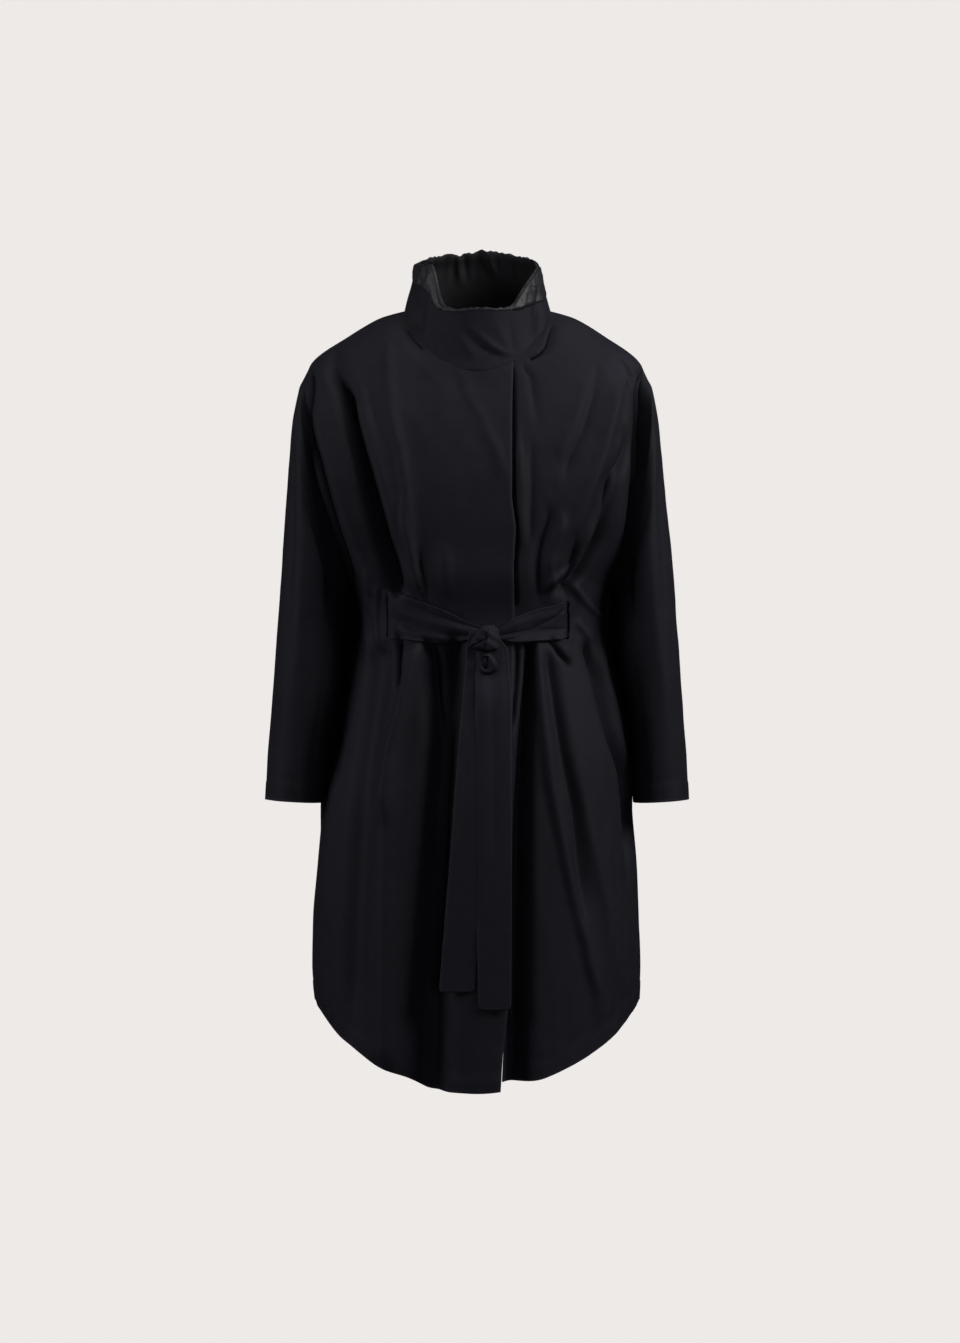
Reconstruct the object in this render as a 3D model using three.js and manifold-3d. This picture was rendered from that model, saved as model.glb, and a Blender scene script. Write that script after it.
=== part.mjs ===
// Belted rain coat with a stand collar, deep-set sleeves and a shirt-tail hem.
// Millimetres, +Z up, the front faces -Y. The origin is the middle of the neck base,
// where the wearer's shoulders carry the garment. "Right" and "left" are the wearer's,
// so the right front is at -X.
import * as THREE from 'three';
import { mergeVertices } from 'three/addons/utils/BufferGeometryUtils.js';
import Module from 'manifold-3d';

// ---- Driving dimensions -------------------------------------------------------------
const WALL = 2; // coated cloth with its turned edges
const LINING_WALL = 1.2; // satin inner ply of the collar
const SEAM = 0.3; // clearance between pieces at a seam
const OVERLAP_LIFT = WALL + 5 * SEAM; // the right front lies this far over the left one
const UNDERLAP_COLUMNS = 4; // columns of the left front that lie under the right one
const UNDERLAP_END = { from: 12.4, to: 16.4 }; // ring rows over which the underlap runs out
const HEM_GAP = 9; // the fronts stand this far apart at the hem

const BELT_WALL = 2;
const SLIT = { x: 113, z: -390, wide: 11, tall: 62 }; // belt slit in each front
const WAIST_Z = -392; // height of the belt
const CINCH_SPAN = 34; // half height over which the belt flattens the folds

const SHOULDER_TIP = 3; // rows of BODY_RINGS at the ends of the armhole
const UNDERARM = 8;
const ARMHOLE_HALF_ANGLE = 33; // degrees either side of the side line
const ARMHOLE_ROUNDNESS = 1.1;

// Rings of the body from the neck seam to the hem: heights at the front, side and back,
// half widths on the right and left, depths to the front and back, and squareness
// (2 is an ellipse, more is squarer).
const BODY_RINGS = [
  { frontZ: -78, sideZ: 5, backZ: 14, right: 93.5, left: 93.5, front: 84, back: 60, square: 2 },
  { frontZ: -100, sideZ: -8, backZ: -6, right: 122, left: 121, front: 98, back: 78, square: 2.1 },
  { frontZ: -122, sideZ: -32, backZ: -42, right: 167, left: 165, front: 110, back: 94, square: 2.2 },
  { frontZ: -152, sideZ: -70, backZ: -98, right: 217, left: 213, front: 120, back: 105, square: 2.4 },
  { frontZ: -190, sideZ: -125, backZ: -152, right: 228, left: 226, front: 127, back: 111, square: 2.6 },
  { frontZ: -235, sideZ: -190, backZ: -210, right: 224, left: 228, front: 131, back: 115, square: 2.7 },
  { frontZ: -280, sideZ: -250, backZ: -264, right: 207, left: 216, front: 132, back: 117, square: 2.6 },
  { frontZ: -322, sideZ: -305, backZ: -314, right: 186, left: 194, front: 129, back: 117, square: 2.4 },
  { frontZ: -360, sideZ: -350, backZ: -352, right: 166, left: 171, front: 124, back: 117, square: 2.3 },
  { frontZ: -398, sideZ: -398, backZ: -398, right: 157, left: 166, front: 120, back: 117, square: 2.2 },
  { frontZ: -440, sideZ: -440, backZ: -440, right: 160, left: 172, front: 126, back: 119, square: 2.2 },
  { frontZ: -500, sideZ: -500, backZ: -500, right: 169, left: 185, front: 137, back: 124, square: 2.25 },
  { frontZ: -570, sideZ: -570, backZ: -570, right: 181, left: 196, front: 145, back: 129, square: 2.3 },
  { frontZ: -640, sideZ: -638, backZ: -640, right: 198, left: 199, front: 150, back: 132, square: 2.3 },
  { frontZ: -726, sideZ: -714, backZ: -722, right: 206, left: 205, front: 154, back: 135, square: 2.3 },
  { frontZ: -815, sideZ: -786, backZ: -808, right: 212, left: 208, front: 157, back: 137, square: 2.3 },
  { frontZ: -906, sideZ: -845, backZ: -892, right: 213, left: 210, front: 159, back: 138, square: 2.3 },
  { frontZ: -997, sideZ: -894, backZ: -975, right: 209, left: 208, front: 160, back: 139, square: 2.3 },
];
const NECK_DIP = 1.35; // power of the cosine by which the neck seam sinks to the front
const NECK_DIP_ROWS = 1.2; // rows over which it fades into the round rings below
const LEFT_FRONT_HEM_RISE = 4; // the left front ends a little higher than the right
// The back isn't drawn in as far as the fronts: between waist and cuffs it stands out
// beside the sleeves. Rows of BODY_RINGS from FLANK_START on.
const FLANK_START = 7;
const FLANK_ANGLES = { from: 91, peak: 108, to: 152 };
const FLANKS = [
  { right: 0, left: 0 },
  { right: 10, left: 8 },
  { right: 26, left: 18 },
  { right: 27, left: 16 },
  { right: 26, left: 15 },
  { right: 19, left: 14 },
  { right: 6, left: 7 },
  { right: 0, left: 0 },
];

// Edge of the right front: x against height, with a rounded lower corner.
const FRONT_EDGE = [
  { z: -60, x: 44 },
  { z: -245, x: 43 },
  { z: -282, x: 48 },
  { z: -330, x: 45 },
  { z: -400, x: 46 },
  { z: -520, x: 43 },
  { z: -880, x: 38 },
  { z: -960, x: 31 },
  { z: -984, x: 28 },
  { z: -1000, x: 17 },
];

// Folds of the fronts. Each runs through three places (x, z) and rises (ridge, +) or
// sinks (trough, -) by its depth, fading over its half width. FADE rounds its ends.
const FADE = 46;
const FRONT_FOLDS = [
  // right front, above the belt
  { from: [-178, -76], by: [-136, -228], to: [-102, -372], half: 13, depth: -10 },
  { from: [-160, -92], by: [-115, -238], to: [-84, -378], half: 13, depth: 5 },
  { from: [-200, -150], by: [-168, -262], to: [-132, -375], half: 15, depth: 7 },
  { from: [-144, -92], by: [-134, -128], to: [-120, -176], half: 9, depth: -3 },
  { from: [-112, -60], by: [-96, -187], to: [-64, -377], half: 11, depth: 7 },
  { from: [-76, -262], by: [-68, -330], to: [-60, -385], half: 9, depth: -7 },
  { from: [-14, -100], by: [8, -150], to: [34, -226], half: 12, depth: 3 },
  // left front, above the belt
  { from: [58, -74], by: [73, -150], to: [61, -290], half: 9, depth: -4 },
  { from: [96, -252], by: [72, -305], to: [78, -385], half: 9, depth: -7 },
  { from: [104, -276], by: [88, -330], to: [94, -380], half: 9, depth: 5 },
  { from: [154, -74], by: [140, -136], to: [116, -215], half: 10, depth: -4 },
  { from: [176, -96], by: [134, -238], to: [98, -345], half: 13, depth: 6 },
  { from: [199, -92], by: [154, -243], to: [106, -352], half: 14, depth: -11 },
  { from: [206, -170], by: [172, -275], to: [132, -372], half: 14, depth: 6 },
  // right front, below the belt
  { from: [-66, -424], by: [-104, -590], to: [-117, -930], half: 17, depth: 10 },
  { from: [-62, -424], by: [-52, -640], to: [-52, -1010], half: 17, depth: -12 },
  { from: [-98, -410], by: [-97, -446], to: [-96, -490], half: 7, depth: -5 },
  { from: [-122, -430], by: [-148, -600], to: [-166, -840], half: 15, depth: -6 },
  { from: [-10, -470], by: [-8, -700], to: [-8, -1010], half: 20, depth: 4 },
  // left front, below the belt
  { from: [69, -424], by: [57, -694], to: [55, -1000], half: 12, depth: -13 },
  { from: [70, -440], by: [82, -610], to: [94, -800], half: 10, depth: 7 },
  { from: [84, -490], by: [104, -650], to: [130, -860], half: 12, depth: -7 },
  { from: [114, -430], by: [130, -632], to: [156, -930], half: 15, depth: 8 },
  { from: [142, -430], by: [168, -560], to: [186, -740], half: 12, depth: -6 },
];

// Folds of the back, in the same terms.
const BACK_FOLDS = [
  { from: [-150, -90], by: [-126, -240], to: [-118, -420], half: 14, depth: -7 },
  { from: [-96, -110], by: [-88, -290], to: [-84, -560], half: 16, depth: 6 },
  { from: [-48, -150], by: [-50, -360], to: [-54, -760], half: 15, depth: -7 },
  { from: [12, -90], by: [6, -330], to: [2, -700], half: 18, depth: 6 },
  { from: [62, -140], by: [58, -380], to: [66, -720], half: 14, depth: -6 },
  { from: [108, -110], by: [98, -290], to: [100, -610], half: 16, depth: 6 },
  { from: [156, -90], by: [134, -230], to: [128, -430], half: 14, depth: -7 },
  { from: [-132, -430], by: [-146, -660], to: [-152, -980], half: 17, depth: 9 },
  { from: [-108, -520], by: [-112, -740], to: [-112, -1000], half: 14, depth: -9 },
  { from: [-20, -600], by: [-26, -800], to: [-28, -1000], half: 16, depth: 8 },
  { from: [34, -620], by: [36, -800], to: [40, -1000], half: 15, depth: -9 },
  { from: [86, -560], by: [92, -760], to: [96, -1000], half: 16, depth: 9 },
  { from: [144, -420], by: [152, -660], to: [156, -980], half: 14, depth: -8 },
];

// Rings of a sleeve past the armhole: the outermost and innermost points in the XZ plane,
// with x apart for each side, how far the ring bows outwards between them,
// and the half depths.
const SLEEVE_RINGS = [
  { outerRight: 224, outerLeft: 219, outerZ: -87, innerRight: 169, innerLeft: 174, innerZ: -355,
    bow: 17, front: 76, back: 68 },
  { outerRight: 231, outerLeft: 226, outerZ: -124, innerRight: 169.5, innerLeft: 175, innerZ: -362,
    bow: 18, front: 79, back: 72 },
  { outerRight: 238, outerLeft: 233, outerZ: -180, innerRight: 170, innerLeft: 175.5, innerZ: -375,
    bow: 14, front: 79, back: 74 },
  { outerRight: 244, outerLeft: 241, outerZ: -245, innerRight: 171.5, innerLeft: 176, innerZ: -393,
    bow: 10, front: 77, back: 73 },
  { outerRight: 250, outerLeft: 249, outerZ: -310, innerRight: 173, innerLeft: 177, innerZ: -418,
    bow: 7, front: 73, back: 71 },
  { outerRight: 255, outerLeft: 254.5, outerZ: -376, innerRight: 176, innerLeft: 180, innerZ: -452,
    bow: 4, front: 69, back: 68 },
  { outerRight: 260, outerLeft: 260, outerZ: -444, innerRight: 181, innerLeft: 189.5, innerZ: -490,
    bow: 2, front: 66, back: 65 },
  { outerRight: 265, outerLeft: 264.5, outerZ: -510, innerRight: 190, innerLeft: 198, innerZ: -536,
    bow: 0, front: 63, back: 62 },
  { outerRight: 270, outerLeft: 269, outerZ: -574, innerRight: 197.5, innerLeft: 201.5, innerZ: -588,
    bow: 0, front: 60, back: 60 },
  { outerRight: 273, outerLeft: 272, outerZ: -633, innerRight: 202, innerLeft: 203.5, innerZ: -637,
    bow: 0, front: 58, back: 58 },
];
const SLEEVE_LEAN = -14; // the cuff hangs this far in front of the armhole

// Folds of a sleeve: rings they run over, place around the tube in degrees (0 outside,
// 90 front, 180 body side), half width in degrees, depth.
const SLEEVE_FOLDS = [
  { from: 1, to: 5.5, start: 150, end: 118, half: 15, depth: -7 },
  { from: 2, to: 8.5, start: 96, end: 70, half: 18, depth: 5 },
  { from: 1, to: 6, start: 48, end: 62, half: 15, depth: -4 },
  { from: 5, to: 10, start: 128, end: 120, half: 17, depth: -5 },
  { from: 1, to: 6, start: 212, end: 246, half: 16, depth: -7 },
  { from: 3, to: 9, start: 276, end: 292, half: 18, depth: 5 },
];

// Rings of the stand collar from the neck seam to its top edge.
const COLLAR_RINGS = [
  { frontZ: -78, sideZ: 5, backZ: 14, half: 93.5, front: 84, back: 60 },
  { frontZ: -62, sideZ: 21, backZ: 34, half: 88, front: 83, back: 60 },
  { frontZ: -34, sideZ: 38, backZ: 62, half: 83, front: 80, back: 61 },
  { frontZ: -4, sideZ: 59, backZ: 85, half: 80.5, front: 77, back: 63 },
];
const COLLAR_OVERLAP = 2 * WALL + LINING_WALL + 1.4; // the right end lies over the left
const COLLAR_END_X = 45;
const COLLAR_UNDER_X = -28;
const LINING_RISE = 2; // the inner ply rolls up past the outer one

// Belt between each slit and the knot: x, height of its middle, its width there and how
// far it stands off the front. It dives through the slit at its outer end.
const BELT_RIGHT = [
  { x: 4.5, z: -412, wide: 30, lift: 2.6 },
  { x: -12, z: -410, wide: 33, lift: 2.6 },
  { x: -30, z: -407, wide: 40, lift: 3 },
  { x: -52, z: -403, wide: 46, lift: 3 },
  { x: -76, z: -398, wide: 50, lift: 2.6 },
  { x: -98, z: -392, wide: 54, lift: 2.2 },
  { x: -106, z: -391, wide: 55, lift: 2 },
  { x: -109.5, z: -390, wide: 55, lift: 0.8 },
  { x: -116.5, z: -390, wide: 55, lift: -6.2 },
  { x: -121, z: -390, wide: 54, lift: -8 },
  { x: -128, z: -390, wide: 52, lift: -8.4 },
];
const BELT_LEFT = [
  { x: 4.8, z: -414, wide: 28, lift: 2.6 },
  { x: 26, z: -414, wide: 26, lift: 3 },
  { x: 44, z: -411, wide: 34, lift: 3 },
  { x: 66, z: -406, wide: 40, lift: 3 },
  { x: 88, z: -401, wide: 46, lift: 2.6 },
  { x: 100, z: -398, wide: 46, lift: 2.2 },
  { x: 106, z: -396, wide: 46, lift: 2 },
  { x: 109.5, z: -394, wide: 46, lift: 0.8 },
  { x: 116.5, z: -392, wide: 46, lift: -6.2 },
  { x: 121, z: -391, wide: 46, lift: -8 },
  { x: 128, z: -390, wide: 46, lift: -8.4 },
];
const BELT_INSIDE_END = 137;
const BELT_INSIDE_LIFT = -5.2; // the hidden run lies inside the back wall

const KNOT = { x: 5, z: -417, wide: 46, tall: 37, deep: 20, lift: 11.4 };
const LOOP = { x: 14, z: -437, wide: 20, drop: 32, deep: 12, lift: 11.1 };
const TAIL_UNDER = [
  { z: -412, start: -11, end: 14, lift: 5.6 },
  { z: -440, start: -15, end: 20, lift: 5.4 },
  { z: -490, start: -20, end: 26, lift: 5 },
  { z: -560, start: -25, end: 22, lift: 4.6 },
  { z: -680, start: -34, end: 13, lift: 4.4 },
  { z: -862, start: -50, end: -3, lift: 4.4 },
];
const TAIL_OVER = [
  { z: -412, start: -4, end: 22, lift: 8.4 },
  { z: -434, start: -3, end: 40, lift: 8.2 },
  { z: -490, start: -2, end: 45, lift: 7.8 },
  { z: -560, start: -3, end: 44, lift: 7.4 },
  { z: -690, start: -2, end: 45, lift: 7.2 },
  { z: -884, start: -1, end: 43, lift: 7.2 },
];

// ---- Finishes -----------------------------------------------------------------------
const SHELL = { color: 0x141318, roughness: 0.55, metalness: 0 };
const SATIN = { color: 0x3b3b42, roughness: 0.3, metalness: 0 };

// ---- Small maths --------------------------------------------------------------------
const rad = THREE.MathUtils.degToRad;
const smooth = (t) => THREE.MathUtils.smoothstep(t, 0, 1);

/** Monotone cubic value of one column of an evenly spaced table at row t. */
function column(table, key, t) {
  const last = table.length - 1;
  const i = Math.min(Math.max(Math.floor(t), 0), last - 1);
  const at = (k) => table[Math.min(Math.max(k, 0), last)][key];
  const slope = (k) => {
    const before = at(k) - at(k - 1);
    const after = at(k + 1) - at(k);
    return before * after <= 0 ? 0 : (2 * before * after) / (before + after);
  };
  const f = t - i;
  const [h00, h01] = [1 - smooth(f), smooth(f)];
  const [h10, h11] = [f * (1 - f) ** 2, -f * f * (1 - f)];
  return h00 * at(i) + h01 * at(i + 1) + h10 * slope(i) + h11 * slope(i + 1);
}

/** Straight-line value of one column of a table against another that only rises or falls. */
function lookUp(table, key, value, result) {
  const falling = table[0][key] > table[table.length - 1][key];
  const rows = falling ? [...table].reverse() : table;
  if (value <= rows[0][key]) return rows[0][result];
  for (let i = 1; i < rows.length; i += 1) {
    if (value <= rows[i][key]) {
      const f = (value - rows[i - 1][key]) / (rows[i][key] - rows[i - 1][key]);
      return rows[i - 1][result] + f * (rows[i][result] - rows[i - 1][result]);
    }
  }
  return rows[rows.length - 1][result];
}

// ---- Folds --------------------------------------------------------------------------
/** Height of one fold over the unfolded cloth at the place (x, z). */
function foldHeight(fold, x, z) {
  const [top, middle, bottom] = [fold.from, fold.by, fold.to];
  if (z > top[1] + FADE || z < bottom[1] - FADE) return 0;
  const upper = z > middle[1];
  const [a, b] = upper ? [top, middle] : [middle, bottom];
  const run = (a[1] - z) / (a[1] - b[1]);
  const centre = a[0] + run * (b[0] - a[0]);
  const ends = smooth((top[1] + FADE / 2 - z) / FADE) * smooth((z - bottom[1] + FADE / 2) / FADE);
  return fold.depth * ends * Math.exp(-(((x - centre) / fold.half) ** 2));
}

/** All folds of the body at a place; the belt flattens those of the fronts. */
function bodyFolds(x, y, z) {
  const frontShare = smooth((30 - y) / 60);
  const sum = (folds) => folds.reduce((total, fold) => total + foldHeight(fold, x, z), 0);
  const belt = 1 - 0.94 * Math.exp(-(((z - WAIST_Z) / CINCH_SPAN) ** 4));
  return frontShare * belt * sum(FRONT_FOLDS) + (1 - frontShare) * sum(BACK_FOLDS);
}

// ---- Body surface -------------------------------------------------------------------
/** How a ring sinks from its side to its front: nearly a V at the neck, round lower down. */
const ringDip = (s) => NECK_DIP + (2 - NECK_DIP) * smooth(s / NECK_DIP_ROWS);

/** How far the back stands out at its sides, at ring row s and angle tau. */
function flank(s, tau) {
  const turn = ((tau % 360) + 540) % 360 - 180; // from -180 to 180
  const rise = smooth((Math.abs(turn) - FLANK_ANGLES.from) / (FLANK_ANGLES.peak - FLANK_ANGLES.from));
  const fall = smooth((Math.abs(turn) - FLANK_ANGLES.peak) / (FLANK_ANGLES.to - FLANK_ANGLES.peak));
  const row = THREE.MathUtils.clamp(s - FLANK_START, 0, FLANKS.length - 1);
  return column(FLANKS, turn < 0 ? 'right' : 'left', row) * rise * (1 - fall);
}

/**
 * Outer point of the body at ring row s and angle tau in degrees: 0 front, 90 left side,
 * -90 right side, 180 back. raise moves it outwards.
 */
function bodyPoint(s, tau, raise = 0) {
  const a = rad(tau);
  const [sin, cos] = [Math.sin(a), Math.cos(a)];
  const square = column(BODY_RINGS, 'square', s);
  const swell = (Math.abs(sin) ** square + Math.abs(cos) ** square) ** (-1 / square);
  const half = column(BODY_RINGS, sin < 0 ? 'right' : 'left', s);
  const depth = column(BODY_RINGS, cos > 0 ? 'front' : 'back', s);
  const sideZ = column(BODY_RINGS, 'sideZ', s);
  const endZ = column(BODY_RINGS, cos > 0 ? 'frontZ' : 'backZ', s);
  const x = half * sin * swell;
  const y = -depth * cos * swell;
  const z = sideZ + (endZ - sideZ) * Math.abs(cos) ** ringDip(s);
  const out = new THREE.Vector2(x / half ** 2, y / depth ** 2).normalize();
  const d = raise + flank(s, tau) + bodyFolds(x, y, z);
  return new THREE.Vector3(x + out.x * d, y + out.y * d, z);
}

/** Angle at which ring s reaches the given x on the front. */
function frontAngle(s, x) {
  let tau = 0;
  for (let i = 0; i < 12; i += 1) {
    tau += THREE.MathUtils.radToDeg((x - bodyPoint(s, tau).x) / column(BODY_RINGS, 'left', s));
  }
  return tau;
}

/** Half angle of the armhole at ring row s, 0 above the shoulder tip and below the underarm. */
function armholeAngle(s) {
  const middle = (SHOULDER_TIP + UNDERARM) / 2;
  const q = (s - middle) / ((UNDERARM - SHOULDER_TIP) / 2);
  return q * q >= 1 ? 0 : ARMHOLE_HALF_ANGLE * (1 - q * q) ** (ARMHOLE_ROUNDNESS / 2);
}

/** Place on the front at (x, z), found by walking over the rings, raised outwards. */
function onFront(x, z, raise) {
  let [s, tau] = [9, 0];
  for (let i = 0; i < 60; i += 1) {
    const p = bodyPoint(s, tau, raise);
    s = THREE.MathUtils.clamp(s + (p.z - z) / 110, 0, BODY_RINGS.length - 1);
    tau += ((x - p.x) / 200) * (180 / Math.PI);
  }
  return bodyPoint(s, tau, raise);
}

// ---- Thick sheets -------------------------------------------------------------------
/**
 * Closed solid from a grid of outer points: the inner face is offset by the wall.
 * Seen from outside, with the rows running down, the columns run to the left.
 * ring closes the sheet on itself across its columns.
 */
function thickSheet(grid, wall, ring = false) {
  const rows = grid.length;
  const cols = grid[0].length;
  const wrap = (j) => (ring ? (j + cols) % cols : Math.min(Math.max(j, 0), cols - 1));
  const row = (i) => Math.min(Math.max(i, 0), rows - 1);
  const inner = grid.map((line, i) => line.map((p, j) => {
    const down = grid[row(i + 1)][j].clone().sub(grid[row(i - 1)][j]);
    const across = grid[i][wrap(j + 1)].clone().sub(grid[i][wrap(j - 1)]);
    return p.clone().addScaledVector(down.cross(across).normalize(), wall);
  }));
  const points = [...grid.flat(), ...inner.flat()];
  const count = rows * cols;
  const index = [];
  const quad = (a, b, c, d) => index.push(a, b, c, a, c, d);
  const at = (i, j) => i * cols + wrap(j);
  const span = ring ? cols : cols - 1;
  for (let i = 0; i < rows - 1; i += 1) {
    for (let j = 0; j < span; j += 1) {
      const [a, b, c, d] = [at(i, j), at(i, j + 1), at(i + 1, j + 1), at(i + 1, j)];
      quad(a, b, c, d);
      quad(a + count, d + count, c + count, b + count);
    }
  }
  for (let j = 0; j < span; j += 1) {
    quad(at(0, j + 1), at(0, j), at(0, j) + count, at(0, j + 1) + count);
    const [a, b] = [at(rows - 1, j), at(rows - 1, j + 1)];
    quad(a, b, b + count, a + count);
  }
  for (let i = 0; i < rows - 1 && !ring; i += 1) {
    quad(at(i, 0), at(i + 1, 0), at(i + 1, 0) + count, at(i, 0) + count);
    const [a, b] = [at(i, cols - 1), at(i + 1, cols - 1)];
    quad(b, a, a + count, b + count);
  }
  const geometry = new THREE.BufferGeometry();
  geometry.setAttribute('position', new THREE.Float32BufferAttribute(points.flatMap((p) => p.toArray()), 3));
  geometry.setIndex(index);
  return outwards(geometry);
}

/** Turns a closed geometry's faces outwards, so that its volume is positive. */
function outwards(geometry) {
  const [position, index] = [geometry.attributes.position, geometry.index];
  const corner = (k) => new THREE.Vector3().fromBufferAttribute(position, index.getX(k));
  let volume = 0;
  for (let k = 0; k < index.count; k += 3) {
    volume += corner(k).dot(corner(k + 1).cross(corner(k + 2)));
  }
  for (let k = 0; k < index.count && volume < 0; k += 3) {
    const second = index.getX(k + 1);
    index.setX(k + 1, index.getX(k + 2));
    index.setX(k + 2, second);
  }
  return geometry;
}

const wasm = await Module();
wasm.setup();

/** One closed geometry less another. */
function cut(geometry, tool) {
  const solid = (source) => {
    const bare = source.clone();
    bare.deleteAttribute('normal');
    bare.deleteAttribute('uv');
    const merged = mergeVertices(bare, 1e-4);
    return new wasm.Manifold(new wasm.Mesh({
      numProp: 3,
      vertProperties: new Float32Array(merged.attributes.position.array),
      triVerts: new Uint32Array(merged.index.array),
    }));
  };
  const mesh = solid(geometry).subtract(solid(tool)).getMesh();
  const result = new THREE.BufferGeometry();
  result.setAttribute('position', new THREE.BufferAttribute(mesh.vertProperties, 3));
  result.setIndex(new THREE.BufferAttribute(mesh.triVerts, 1));
  return result;
}

/** A grid whose columns ran to the right, turned round. */
const turned = (grid) => grid.map((line) => [...line].reverse());

const coat = new THREE.Group();
coat.name = 'rain_coat';

/** Adds one named piece to the coat. */
function piece(name, geometry, finish) {
  const mesh = new THREE.Mesh(geometry, new THREE.MeshStandardMaterial(finish));
  mesh.name = name;
  coat.add(mesh);
}

// ---- Panels -------------------------------------------------------------------------
// Ring rows at which the panels have points: close together at both ends of the armhole.
const YOKE_ROWS = [0, 0.5, 1, 1.5, 2, 2.5];
const ARMHOLE_ROWS = [3, 3.1, 3.35, 3.75, 4.25, 4.85, 5.5, 6.15, 6.75, 7.25, 7.65, 7.9, 8];
const SKIRT_ROWS = [8.5, 9, 9.5, 10, 10.6, 11.2, 12, 12.8, 13.6, 14.4, 15.2, 16, 16.6, 17];
const PANEL_ROWS = [...YOKE_ROWS, ...ARMHOLE_ROWS, ...SKIRT_ROWS];

/** Angle that a seam's clearance takes at ring row s, wider on the steep yoke by the neck. */
function seamAngle(s) {
  const clearance = SEAM * (3 - 2 * smooth(s / 1.5));
  return THREE.MathUtils.radToDeg(clearance / column(BODY_RINGS, 'front', s));
}

/** Panel between two angles, given as functions of the ring row. */
function panel(columns, startAngle, endAngle, place) {
  return PANEL_ROWS.map((s) => {
    const [start, end] = [startAngle(s), endAngle(s)];
    return Array.from({ length: columns + 1 }, (_, j) => place(s, start + ((end - start) * j) / columns));
  });
}

const sideAngle = (s) => 90 - armholeAngle(s) - seamAngle(s);
const edgeX = (s) => lookUp(FRONT_EDGE, 'z', bodyPoint(s, 8).z, 'x');

/** The right front rises over the left one where they overlap, more on the sloping yoke. */
const overlapRaise = (x, s = UNDERARM) => {
  const yoke = 1 + 0.45 * (1 - smooth(s / SHOULDER_TIP));
  return OVERLAP_LIFT * yoke * smooth((x + 84) / 42);
};

function slitCutter(sign) {
  const box = new THREE.BoxGeometry(SLIT.wide, 90, SLIT.tall);
  return box.translate(sign * SLIT.x, -105, SLIT.z);
}

const FRONT_COLUMNS = 19;
const rightFront = panel(
  FRONT_COLUMNS + 3,
  (s) => frontAngle(s, edgeX(s)),
  (s) => -sideAngle(s),
  (s, tau) => bodyPoint(s, tau, overlapRaise(bodyPoint(s, tau).x, s)),
);
/** The left front: its underlap shares the right front's columns, so the two stay parallel. */
const leftFront = PANEL_ROWS.map((s) => {
  const parted = smooth((s - UNDERLAP_END.from) / (UNDERLAP_END.to - UNDERLAP_END.from));
  const rightEdge = frontAngle(s, edgeX(s));
  const edge = frontAngle(s, edgeX(s) + HEM_GAP * parted);
  const step = ((rightEdge + sideAngle(s)) / (FRONT_COLUMNS + 3)) * (1 - 0.93 * parted);
  const low = smooth((s - UNDERARM) / (BODY_RINGS.length - 1 - UNDERARM)) ** 3;
  const angles = Array.from({ length: UNDERLAP_COLUMNS }, (_, j) => edge - (UNDERLAP_COLUMNS - j) * step);
  for (let j = 0; j <= FRONT_COLUMNS - 2; j += 1) {
    angles.push(edge + ((sideAngle(s) - edge) * j) / (FRONT_COLUMNS - 2));
  }
  return angles.map((tau) => {
    const p = bodyPoint(s, tau);
    p.z += low * LEFT_FRONT_HEM_RISE * smooth((90 - tau) / 25);
    return p;
  });
});
const back = panel(
  26,
  (s) => 90 + armholeAngle(s) + seamAngle(s),
  (s) => 270 - armholeAngle(s) - seamAngle(s),
  (s, tau) => bodyPoint(s, tau),
);
piece('front_right', cut(thickSheet(rightFront, WALL), slitCutter(-1)), SHELL);
piece('front_left', cut(thickSheet(turned(leftFront), WALL), slitCutter(1)), SHELL);
piece('back', thickSheet(turned(back), WALL), SHELL);

// ---- Sleeves ------------------------------------------------------------------------
const SLEEVE_ROWS = [0, 1, 1.7, 2.5, 3.3, 4.1, 5, 5.8, 6.6, 7.4, 8.2, 9.1, 10];

/** Height of the sleeve's folds at ring row k and angle around in degrees. */
function sleeveFolds(k, around) {
  return SLEEVE_FOLDS.reduce((total, fold) => {
    const run = (k - fold.from) / (fold.to - fold.from);
    if (run < 0 || run > 1) return total;
    const off = (around - fold.start - run * (fold.end - fold.start)) / fold.half;
    return total + fold.depth * Math.sin(Math.PI * run) ** 1.2 * Math.exp(-off * off);
  }, 0);
}

/** Outer point of a sleeve; sign is 1 for the left and -1 for the right. */
function sleevePoint(k, s, front, sign) {
  const middle = (SHOULDER_TIP + UNDERARM) / 2;
  const inset = 1 - 0.006; // clears the armhole's edge by the seam
  const from = (90 - (front ? 1 : -1) * armholeAngle(s) * inset) * sign;
  const armhole = bodyPoint(middle + (s - middle) * inset, from);
  if (k === 0) return armhole;
  const half = (UNDERARM - SHOULDER_TIP) / 2;
  const turn = Math.acos(THREE.MathUtils.clamp((middle - s) / half, -1, 1));
  const around = front ? THREE.MathUtils.radToDeg(turn) : 360 - THREE.MathUtils.radToDeg(turn);
  const row = Math.max(k - 1, 0);
  const value = (key) => column(SLEEVE_RINGS, key, row);
  const side = sign < 0 ? 'Right' : 'Left';
  const [outerX, innerX] = [value(`outer${side}`), value(`inner${side}`)];
  const [outerZ, innerZ] = [value('outerZ'), value('innerZ')];
  const depth = value(front ? 'front' : 'back') + sleeveFolds(k, around);
  const y = (SLEEVE_LEAN * row) / (SLEEVE_RINGS.length - 1) - (front ? 1 : -1) * depth * Math.sin(turn);
  const middleX = (outerX + innerX) / 2 + value('bow') * Math.sin(turn);
  const x = middleX + ((outerX - innerX) / 2) * Math.cos(turn);
  const z = (outerZ + innerZ) / 2 + ((outerZ - innerZ) / 2) * Math.cos(turn);
  return new THREE.Vector3(sign * x, y, z);
}

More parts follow.
